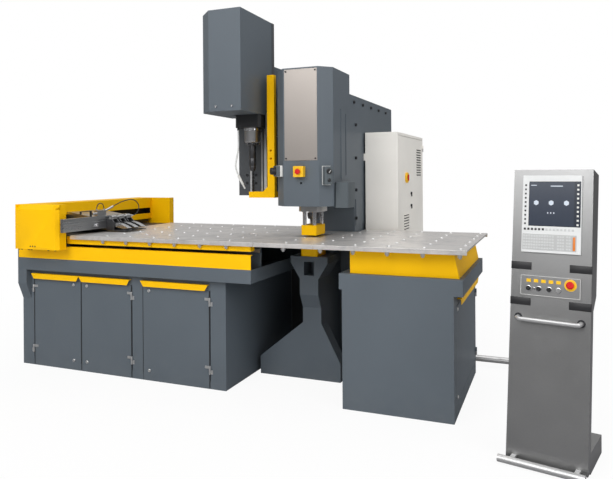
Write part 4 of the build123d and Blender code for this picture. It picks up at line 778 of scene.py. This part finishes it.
@piece(hoseRubber, "beam")
def drainPlugs(bm):
    radius, length, sunk = beam["drain"]
    for x in beam["drainXs"]:
        for y, way in ((beam["face"], -1), (beam["mirror"] - beam["face"], 1)):
            addRod(bm, along((0, way, 0), (x, y - way * sunk, beam["drainZ"])), radius, length, 20, 0.0003)


# Clamps: bolt in the bar, hose fittings, screws on the air cylinders, a bent cable bracket
clamps = {
    "barBolt": (-1.800, -0.349, 1.167), "boltRadius": 0.014, "barX": -1.815, "barTop": 1.238,
    "port": ((0.0085, 0), (0.0085, 0.007), (0.0065, 0.0085), (0.0065, 0.014), (0.0045, 0.015)),
    "pipe": ((0.0105, -0.004), (0.0105, 0.006), (0.0075, 0.008), (0.0075, 0.020), (0.0045, 0.022)),
    "screwXs": (-1.788, -1.732), "clampYs": (-0.186, -0.091, 0.004), "screwBack": 0.033,
    "screwTop": 1.206, "screw": 0.0035,
    "bracket": (  # front, rear, low and high above the bar
        (-0.400, -0.388, 0.0, 0.046), (-0.515, -0.388, 0.044, 0.050), (-0.515, -0.507, 0.026, 0.050),
    ),
    "bracketHalf": 0.008,
}


@piece(brightSteel, "clamps")
def clampBrights(bm):
    addSocketScrew(bm, along((1, 0, 0), clamps["barBolt"]), clamps["boltRadius"])
    for port in airLine["ports"]:
        addTurned(bm, clamps["port"], at(*port), 18)
    lead = (loopRoute[1] - loopRoute[0]).normalized()
    addTurned(bm, clamps["pipe"], along(lead, loopRoute[0]), 18)
    for y in clamps["clampYs"]:
        for x in clamps["screwXs"]:
            place = at(x, y - clamps["screwBack"], clamps["screwTop"])
            addSocketScrew(bm, place, clamps["screw"])


@piece(blackPaint, "clamps")
def clampBracket(bm):
    x, top, half = clamps["barX"], clamps["barTop"], clamps["bracketHalf"]
    for start, end, low, high in clamps["bracket"]:
        addBlock(bm, (x - half, start, top + low), (x + half, end, top + high), 0.002)


# Black pleated cover on the bearers under the beam
wayCover = {"x": (-2.420, -1.856), "y": (-0.556, 0.768), "z": (1.0885, 1.0985), "pleats": 24, "gap": 0.0004}


@piece(hoseRubber)
def wayPleats(bm):
    (left, right), (start, end), (low, high) = wayCover["x"], wayCover["y"], wayCover["z"]
    pitch = (right - left) / wayCover["pleats"]
    for n in range(wayCover["pleats"]):
        last = left + (n + 1) * pitch - wayCover["gap"]
        addBlock(bm, (left + n * pitch, start, low), (last, end, high), 0.004)


# Dark sheet between the left cabinet and the frame: painted shade of the deep gap behind them
rearShade = {"x": (-0.4885, -0.2075), "y": (0.700, 0.704), "z": (0.050, 0.795)}


def addStrip(bm, strip):
    low, high = zip(strip["x"], strip["y"], strip["z"])
    addBlock(bm, low, high, 0.001, 1)


makePiece("rearShadeSheet", blackPaint, addStrip, rearShade)
print("beam and clamps dressed")

# Console dressing, laid out on its leaning face: x right, y up the face, z outwards
console = {"spot": (1.682, -0.942, 0.0), "turn": -13.0, "lean": 0.205, "height": 1.590, "lift": 0.012}
consoleSlope = console["lean"] / (console["height"] - console["lift"])
consoleStand = at(*console["spot"]) @ spun(math.radians(console["turn"]))


def consoleFace(z):
    up, out = Vector((0, consoleSlope, 1)).normalized(), Vector((0, -1, consoleSlope)).normalized()
    face = Matrix((Vector((1, 0, 0)), up, out)).transposed().to_4x4()
    return consoleStand @ at(0, consoleSlope * (z - console["lift"]), z) @ face


screen = {
    "middle": 1.343, "floor": 0.0091, "proud": 0.014, "pane": 0.0012, "strip": 0.0006, "film": 0.0003,
    "glass": ((-0.122, -0.0684), (0.122, 0.181)), "column": ((0.122, -0.0684), (0.152, 0.181)),
    "picture": ((-0.118, -0.064), (0.118, 0.177)), "marksUp": 0.0016, "iconUp": 0.00005, "iconCount": 3,
    "icons": (-0.082, 0.080, 0.062, 0.0145),  # first x, pitch, y, radius
    "dots": (-0.022, 0.016, 0.006, 0.002, 0.010),  # first x, pitch, width, low, high
    "bars": (((-0.112, 0.158), (-0.082, 0.162)), ((-0.006, 0.153), (0.058, 0.158))),
}
screenFace = consoleFace(screen["middle"])
screenFloor, screenTop = screen["floor"], screen["proud"]


def onScreen(bm, low, high, thick, level):
    addBlock(bm, (*low, level), (*high, level + thick), 0.0, 1, screenFace)


makePiece("screenPane", screenDark, onScreen, *screen["glass"], screen["pane"], screenFloor)
makePiece("screenColumn", screenDark, onScreen, *screen["column"], screen["strip"], screenTop)
paneTop = screenFloor + screen["pane"]
makePiece("screenBoxes", screenBlue, onScreen, *screen["picture"], screen["film"], paneTop)


@piece(screenPale)
def screenMarks(bm):
    level, film = screenFloor + screen["marksUp"], screen["film"]
    iconX, iconPitch, iconY, radius = screen["icons"]
    dotX, dotPitch, width, low, high = screen["dots"]
    for n in range(screen["iconCount"]):
        icon = at(iconX + n * iconPitch, iconY, level + screen["iconUp"])
        addCylinder(bm, screenFace @ icon, radius, film, 6)
        x = dotX + n * dotPitch
        onScreen(bm, (x, low), (x + width, high), film, level)
    for low, high in screen["bars"]:
        onScreen(bm, low, high, film, level)


keys = {
    "board": ((-0.142, 12, 0.0140), (0.040, 3, 0.0130), (0.086, 2, 0.0130)),  # left, columns, pitch
    "boardLow": -0.190, "boardRows": 5, "rowPitch": 0.0165, "cover": 0.40, "rise": 0.002,
    "field": ((-0.151, -0.201), (0.134, -0.113)), "fieldThick": 0.0006,
    "columns": (-0.139, 0.138), "columnRows": 10, "columnLow": -0.056, "columnPitch": 0.024,
    "row": -0.086, "rowStep": 0.0195, "darkKeys": 6, "paleKeys": 8,
    "half": {"column": 0.0048, "light": 0.0052, "dark": 0.0058, "pale": 0.0055},
    "strip": ((0.116, -0.196), (0.128, -0.122), 0.003),
}


def addKey(bm, x, y, half, level=screenTop):
    low, high = (x - half, y - half, level), (x + half, y + half, level + keys["rise"])
    addBlock(bm, low, high, 0.0008, 1, screenFace)


def addKeyColumn(bm, x, half, level):
    for n in range(keys["columnRows"]):
        addKey(bm, x, keys["columnLow"] + n * keys["columnPitch"], half, level)


def addKeyRow(bm, first, count, half):
    for n in range(first, first + count):
        addKey(bm, keys["columns"][0] + n * keys["rowStep"], keys["row"], half)


makePiece("keyField", fieldPlastic, onScreen, *keys["field"], keys["fieldThick"], screenTop)


@piece(keyPlastic)
def screenKeys(bm):
    for left, columns, pitch in keys["board"]:
        for row in range(keys["boardRows"]):
            for n in range(columns):
                addKey(bm, left + n * pitch, keys["boardLow"] + row * keys["rowPitch"], pitch * keys["cover"])
    addKeyRow(bm, keys["darkKeys"], keys["paleKeys"], keys["half"]["pale"])


@piece(blackPlastic)
def screenDarkKeys(bm):
    addKeyColumn(bm, keys["columns"][0], keys["half"]["column"], screenTop)
    addKeyRow(bm, 0, keys["darkKeys"], keys["half"]["dark"])


stripTop = screenTop + screen["strip"]
makePiece("screenPaleKeys", whitePlastic, addKeyColumn, keys["columns"][1], keys["half"]["light"], stripTop)


@piece(orangePlastic)
def screenStrip(bm):
    low, high, thick = keys["strip"]
    addBlock(bm, (*low, screenTop), (*high, screenTop + thick), 0.0015, 2, screenFace)


grips = {"heights": (1.0535, 0.8585), "x": (0.100, 0.2115), "half": 0.021, "z": (-0.012, 0.003)}


@piece(blackPlastic)
def gripInserts(bm):
    half, (back, proud) = grips["half"], grips["z"]
    for height in grips["heights"]:
        for side in (-1, 1):
            low, high = sorted(side * x for x in grips["x"])
            addBlock(bm, (low, -half, back), (high, half, proud), 0.0016, 2, consoleFace(height))


# Button panel: white line round it, yellow labels, bright rings, a disc below the stop cap
buttons = {
    "width": 0.322, "height": 0.118, "bottom": 0.890, "lift": 0.003, "inset": 0.006, "line": (0.001, 0.0005),
    "row": 0.36, "shares": (0.15, 0.32, 0.49, 0.64), "pilot": 0.235, "stop": (0.83, 0.64),
    "labelRow": 0.72, "labels": (0.15, 0.2725, 0.395, 0.5175, 0.64), "label": (0.012, 0.009, 0.0012),
    "disc": ((0.032, 0), (0.032, 0.0003), (0.0316, 0.0004), (0.0124, 0.0004), (0.0124, 0)),
    "ring": ((0.0155, 0), (0.0155, 0.0022), (0.014, 0.0032), (0.0126, 0.0032), (0.0126, 0)),
    "lens": ((0.008, 0), (0.008, 0.003), (0.006, 0.005), (0.0, 0.0055)),
}


def panelSpot(shareX, shareZ):
    width, z = buttons["width"], buttons["bottom"] + buttons["height"] * shareZ
    return consoleFace(z) @ at(-width / 2 + width * shareX, 0, buttons["lift"])


@piece(whitePlastic)
def panelFrame(bm):
    face = consoleFace(buttons["bottom"] + buttons["height"] / 2)
    w, h = buttons["width"] / 2 - buttons["inset"], buttons["height"] / 2 - buttons["inset"]
    half, thick = buttons["line"]
    low, high = buttons["lift"], buttons["lift"] + thick
    for side in (-1, 1):
        addBlock(bm, (-w, side * h - half, low), (w, side * h + half, high), 0.0, 1, face)
        addBlock(bm, (side * w - half, -h, low), (side * w + half, h, high), 0.0, 1, face)


@piece(yellowPlastic)
def panelLabels(bm):
    x, y, thick = buttons["label"]
    for share in buttons["labels"]:
        addBlock(bm, (-x, -y, 0), (x, y, thick), 0.0005, 1, panelSpot(share, buttons["labelRow"]))
    addTurned(bm, buttons["disc"], panelSpot(*buttons["stop"]), 36)


@piece(brightSteel)
def panelRings(bm):
    for share in buttons["shares"]:
        addTurned(bm, buttons["ring"], panelSpot(share, buttons["row"]))
    addTurned(bm, buttons["lens"], panelSpot(buttons["pilot"], buttons["row"]), 20)


# Collars round the handle's feet and four screws at the back
fixings = {
    "handle": (0.772, 0.164),  # height, x
    "collar": ((0.021, 0), (0.021, 0.003), (0.0185, 0.005), (0.0125, 0.005), (0.0125, 0)),
    "screwHeights": (1.00, 1.48), "depth": 0.150, "screwX": 0.17, "screw": 0.008,
}


@piece(darkSteel)
def consoleSeams(bm):
    height, x = fixings["handle"]
    for side in (-1, 1):
        addTurned(bm, fixings["collar"], consoleFace(height) @ at(side * x, 0, 0), 24)
    for z in fixings["screwHeights"]:
        y = consoleSlope * (z - console["lift"]) + fixings["depth"]
        for side in (1, -1):
            place = along((0, 1, -consoleSlope), (side * fixings["screwX"], y, z))
            addSocketScrew(bm, consoleStand @ place, fixings["screw"])


print("console dressed")

# Switch cabinet: louvre hoods over slots painted dark as their shade, boss of the main switch
louvres = {
    "face": 0.505, "pitch": 0.024, "length": 0.190, "slot": 0.009, "tilt": 32, "lift": 0.002,
    "sets": ((1.430, 1.560, 11), (0.900, 0.640, 7), (0.900, 1.085, 6)),  # front, low, count
    "hood": (0.008, 0.003, 0.0012), "root": 0.001, "shade": (0.0005, 0.0006, 0.004),
}
switchBoss = {
    "spot": (0.505, 0.985, 1.540),
    "profile": ((0.046, 0), (0.046, 0.015), (0.043, 0.018), (0.0275, 0.018), (0.0275, 0)),
}


def louvreSpots():
    return [(y, low + n * louvres["pitch"]) for y, low, count in louvres["sets"] for n in range(count)]


@piece(palePaint, "switch_door")
def louvreHoods(bm):
    reach, over, half = louvres["hood"]
    for y, z in louvreSpots():
        edge = at(louvres["face"], y, z + louvres["slot"] + louvres["lift"])
        tilt = edge @ spun(math.radians(louvres["tilt"]), "Y")
        low, high = (-louvres["root"], -over, -half), (reach, louvres["length"] + over, half)
        addBlock(bm, low, high, 0.0008, 1, tilt)


# Black strips in the slots under the hoods: painted shade of the openings
@piece(blackPaint, "switch_door")
def louvreSlotShade(bm):
    sunk, proud, below = louvres["shade"]
    for y, z in louvreSpots():
        high = (louvres["face"] + proud, y + louvres["length"], z + louvres["slot"])
        addBlock(bm, (louvres["face"] - sunk, y, z - below), high)


@piece(yellowPlastic, "switch_door")
def switchPlate(bm):
    addTurned(bm, switchBoss["profile"], along((1, 0, 0), switchBoss["spot"]), 40)


print("switch cabinet dressed")

# Drill: keyless chuck with knurled sleeve, twist bit with two flutes
drill = {
    "x": -0.519, "chuckTop": 1.8117, "chuckBottom": 1.6037,
    "upper": (  # radius, height from the chuck's top
        (0.0, 0.039), (0.020, 0.039), (0.020, 0), (0.028, 0), (0.028, -0.03), (0.0265, -0.032),
        (0.0265, -0.040), (0.028, -0.042), (0.028, -0.100), (0.0262, -0.103), (0.0262, -0.108),
        (0.028, -0.111),
    ),
    "lower": (  # radius, height from its bottom
        (0.028, 0.045), (0.0255, 0.040), (0.0255, 0.036), (0.0265, 0.034), (0.018, 0), (0.0, 0),
    ),
    "ribs": 24, "rib": ((0.0272, -0.0012), (0.0286, 0.0012)), "ribZ": (0.050, 0.092),
    "bit": 0.009, "bitLength": 0.169, "tip": (0.008, 0.0075, 0.1),  # room, length, share at its point
    "turns": 2.6, "steps": 60, "flute": (0.42, 1.5),
}
drillLine = at(drill["x"], 0, 0)


@piece(toolSteel, "drill_tool")
def chuckBody(bm):
    low, high = drill["chuckBottom"], drill["chuckTop"]
    profile = [(r, high + h) for r, h in drill["upper"]] + [(r, low + h) for r, h in drill["lower"]]
    addTurned(bm, profile, drillLine, 36)
    (ribLow, ribHigh), (start, end) = drill["ribZ"], drill["rib"]
    for n in range(drill["ribs"]):
        turn = drillLine @ spun(2 * math.pi * n / drill["ribs"])
        addBlock(bm, (*start, low + ribLow), (*end, low + ribHigh), 0.0004, 1, turn)


def extrudeFace(bm, faces, vec):
    made = bmesh.ops.extrude_face_region(bm, geom=faces)["geom"]
    verts = [g for g in made if isinstance(g, bmesh.types.BMVert)]
    bmesh.ops.translate(bm, vec=vec, verts=verts)
    return [g for g in made if isinstance(g, bmesh.types.BMFace)], verts


@piece(darkSteel, "drill_tool")
def twistBit(bm):
    ring = bmesh.ops.create_circle(bm, cap_ends=True, segments=20, radius=drill["bit"])["verts"]
    depth, sharpness = drill["flute"]
    for v in ring:  # two flutes cut into the round
        angle = math.atan2(v.co.y, v.co.x)
        v.co *= 1 - depth * max(0, math.cos(2 * angle)) ** sharpness
    bmesh.ops.translate(bm, vec=(drill["x"], 0, drill["chuckBottom"]), verts=bm.verts)
    tipRoom, tipLength, tipShare = drill["tip"]
    step = (0, 0, -(drill["bitLength"] - tipRoom) / drill["steps"])
    turn = Matrix.Rotation(2 * math.pi * drill["turns"] / drill["steps"], 3, "Z")
    faces = bm.faces[:]
    for n in range(drill["steps"]):
        faces, verts = extrudeFace(bm, faces, step)
        bmesh.ops.rotate(bm, cent=(drill["x"], 0, 0), matrix=turn, verts=verts)
    faces, verts = extrudeFace(bm, faces, (0, 0, -tipLength))
    bmesh.ops.scale(bm, vec=(tipShare, tipShare, 1), space=drillLine.inverted(), verts=verts)
    bmesh.ops.recalc_face_normals(bm, faces=bm.faces)


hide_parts("drill_chuck")

# Spindle: bright bands, a dark sleeve with screws at its nose, a white sleeve on the coolant nozzle
spindle = {
    "bands": ((1.926, 0.020, 0.0705), (1.836, 0.004, 0.0675)), "bore": 0.0655, "edge": 0.001,
    "nose": ((0.047, 1.8122), (0.0495, 1.8132), (0.0495, 1.8310), (0.047, 1.8318)),
    "screws": 8, "screwRing": 0.0492, "screwZ": 1.822, "screw": 0.0035,
    "nozzle": (
        (0.0062, -0.010), (0.0105, -0.006), (0.0105, 0.070),
        (0.0072, 0.080), (0.0062, 0.106), (0.0042, 0.1115),
    ),
}


@piece(brightSteel, "drill_head")
def spindleRings(bm):
    bore, edge, count = spindle["bore"], spindle["edge"], spindle["screws"]
    for z, h, r in spindle["bands"]:
        addTurned(bm, ((bore, z), (r, z + edge), (r, z + h - edge), (bore, z + h)), drillLine, 40)
    middle = at(drill["x"], 0, spindle["screwZ"])
    for n in range(count):
        turn = middle @ spun(2 * math.pi * (n + 0.5) / count)
        addSocketScrew(bm, turn @ along((1, 0, 0), (spindle["screwRing"], 0, 0)), spindle["screw"])


makePiece("spindleSleeve", darkSteel, addTurned, spindle["nose"], drillLine, 40, body="drill_head")


@piece(whitePlastic, "drill_head")
def nozzleSleeve(bm):
    addTurned(bm, spindle["nozzle"], along(coolantRoute[-1] - coolantRoute[-2], coolantRoute[-1]), 24)


# Bright guide on the drill column
guide = {"x": (-0.499, -0.4865), "y": (0.112, 0.1195), "z": (1.430, 1.930)}
makePiece("guideStrip", satinSteel, addStrip, guide)
print("drill dressed")

studio = {
    "floorSize": 40, "floorTints": ((0.86, 0.86, 0.86, 1), (0.89, 0.89, 0.89, 1)),
    "floorInGloss": (0.24, 0.24, 0.25, 1),
    "whiteShare": 0.92, "fade": (2.2, 5.0),  # how white the floor is to the camera near and far
    "dome": (-0.02, 0.40, 0.12, 0.46),  # low, high, strength at each
    "lamps": (  # place, aim, size, watts
        ((-1.2, -7.4, 6.4), (-0.3, 0.0, 1.1), 6.5, 485),
        ((6.2, -3.6, 4.6), (0.4, 0.4, 1.3), 4.2, 180),
        ((-0.5, 2.4, 7.0), (-0.5, 0.2, 0.9), 6.0, 180),
    ),
}
lens = {"spot": (1.748, -4.46, 1.57), "turn": 22.0, "roll": -0.4, "length": 36.37, "shift": -0.1053}


def floorFinish():
    made = Finish("paleFloor", Roughness=0.8)
    pale = made.mix(made.noise(1.5, 2), *studio["floorTints"])
    made.feed(Base_Color=made.mix(made.node("LightPath", out="Is Glossy Ray"), pale, studio["floorInGloss"]))
    glow = made.node("Emission", {}, {"Color": (1, 1, 1, 1), "Strength": 1.0})
    rays = made.node("LightPath", out="Is Camera Ray")
    away = made.node("VectorMath", {"operation": "LENGTH"}, {0: made.place()}, out="Value")
    white = studio["whiteShare"] + made.band(away, *studio["fade"]) * (1 - studio["whiteShare"])
    both = made.node("MixShader", {}, {0: rays * white, 1: Value(made, made.shader.outputs[0]), 2: glow})
    made.put(made.tree.nodes["Material Output"].inputs["Surface"], both)
    return made.material


def makeFloor():
    bm = bmesh.new()
    bmesh.ops.create_grid(bm, x_segments=1, y_segments=1, size=studio["floorSize"])
    floor = meshObject("floor", bm, floorFinish())


def makeSky():  # white to the camera, else a dome that brightens upwards
    world = bpy.data.worlds.new("studio")
    bpy.context.scene.world = world
    made = Finish("studio", world, Color=(1, 1, 1, 1))
    spot = made.node("TexCoord", out="Generated")
    up = made.node("SeparateXYZ", {}, {"Vector": spot}, out="Z")
    ends = dict(zip(("From Min", "From Max", "To Min", "To Max"), studio["dome"]))
    dome = made.node("MapRange", {}, {"Value": up, **ends})
    seen = made.node("LightPath", out="Is Camera Ray")
    made.feed(Strength=made.node("MapRange", {}, {"Value": seen, "To Min": dome, "To Max": 1.0}))


def makeLamps():
    for n, (spot, aim, size, watts) in enumerate(studio["lamps"]):
        lamp = bpy.data.lights.new("lamp%d" % n, "AREA")
        lamp.energy = watts
        lamp.size = size
        placed("lamp%d" % n, lamp).matrix_world = along(Vector(spot) - Vector(aim), spot)


def makeCamera():
    camera = bpy.data.cameras.new("camera")
    camera.lens = lens["length"]
    camera.shift_y = lens["shift"]
    camera.clip_end = 200
    holder = placed("camera", camera)
    place = at(*lens["spot"])
    for angle, axis in ((lens["turn"], "Z"), (90, "X"), (lens["roll"], "Z")):
        place = place @ spun(math.radians(angle), axis)
    holder.matrix_world = place
    bpy.context.scene.camera = holder


makeFloor()
makeSky()
makeLamps()
makeCamera()
bpy.context.scene.view_settings.view_transform = "Standard"
print("stage ready")
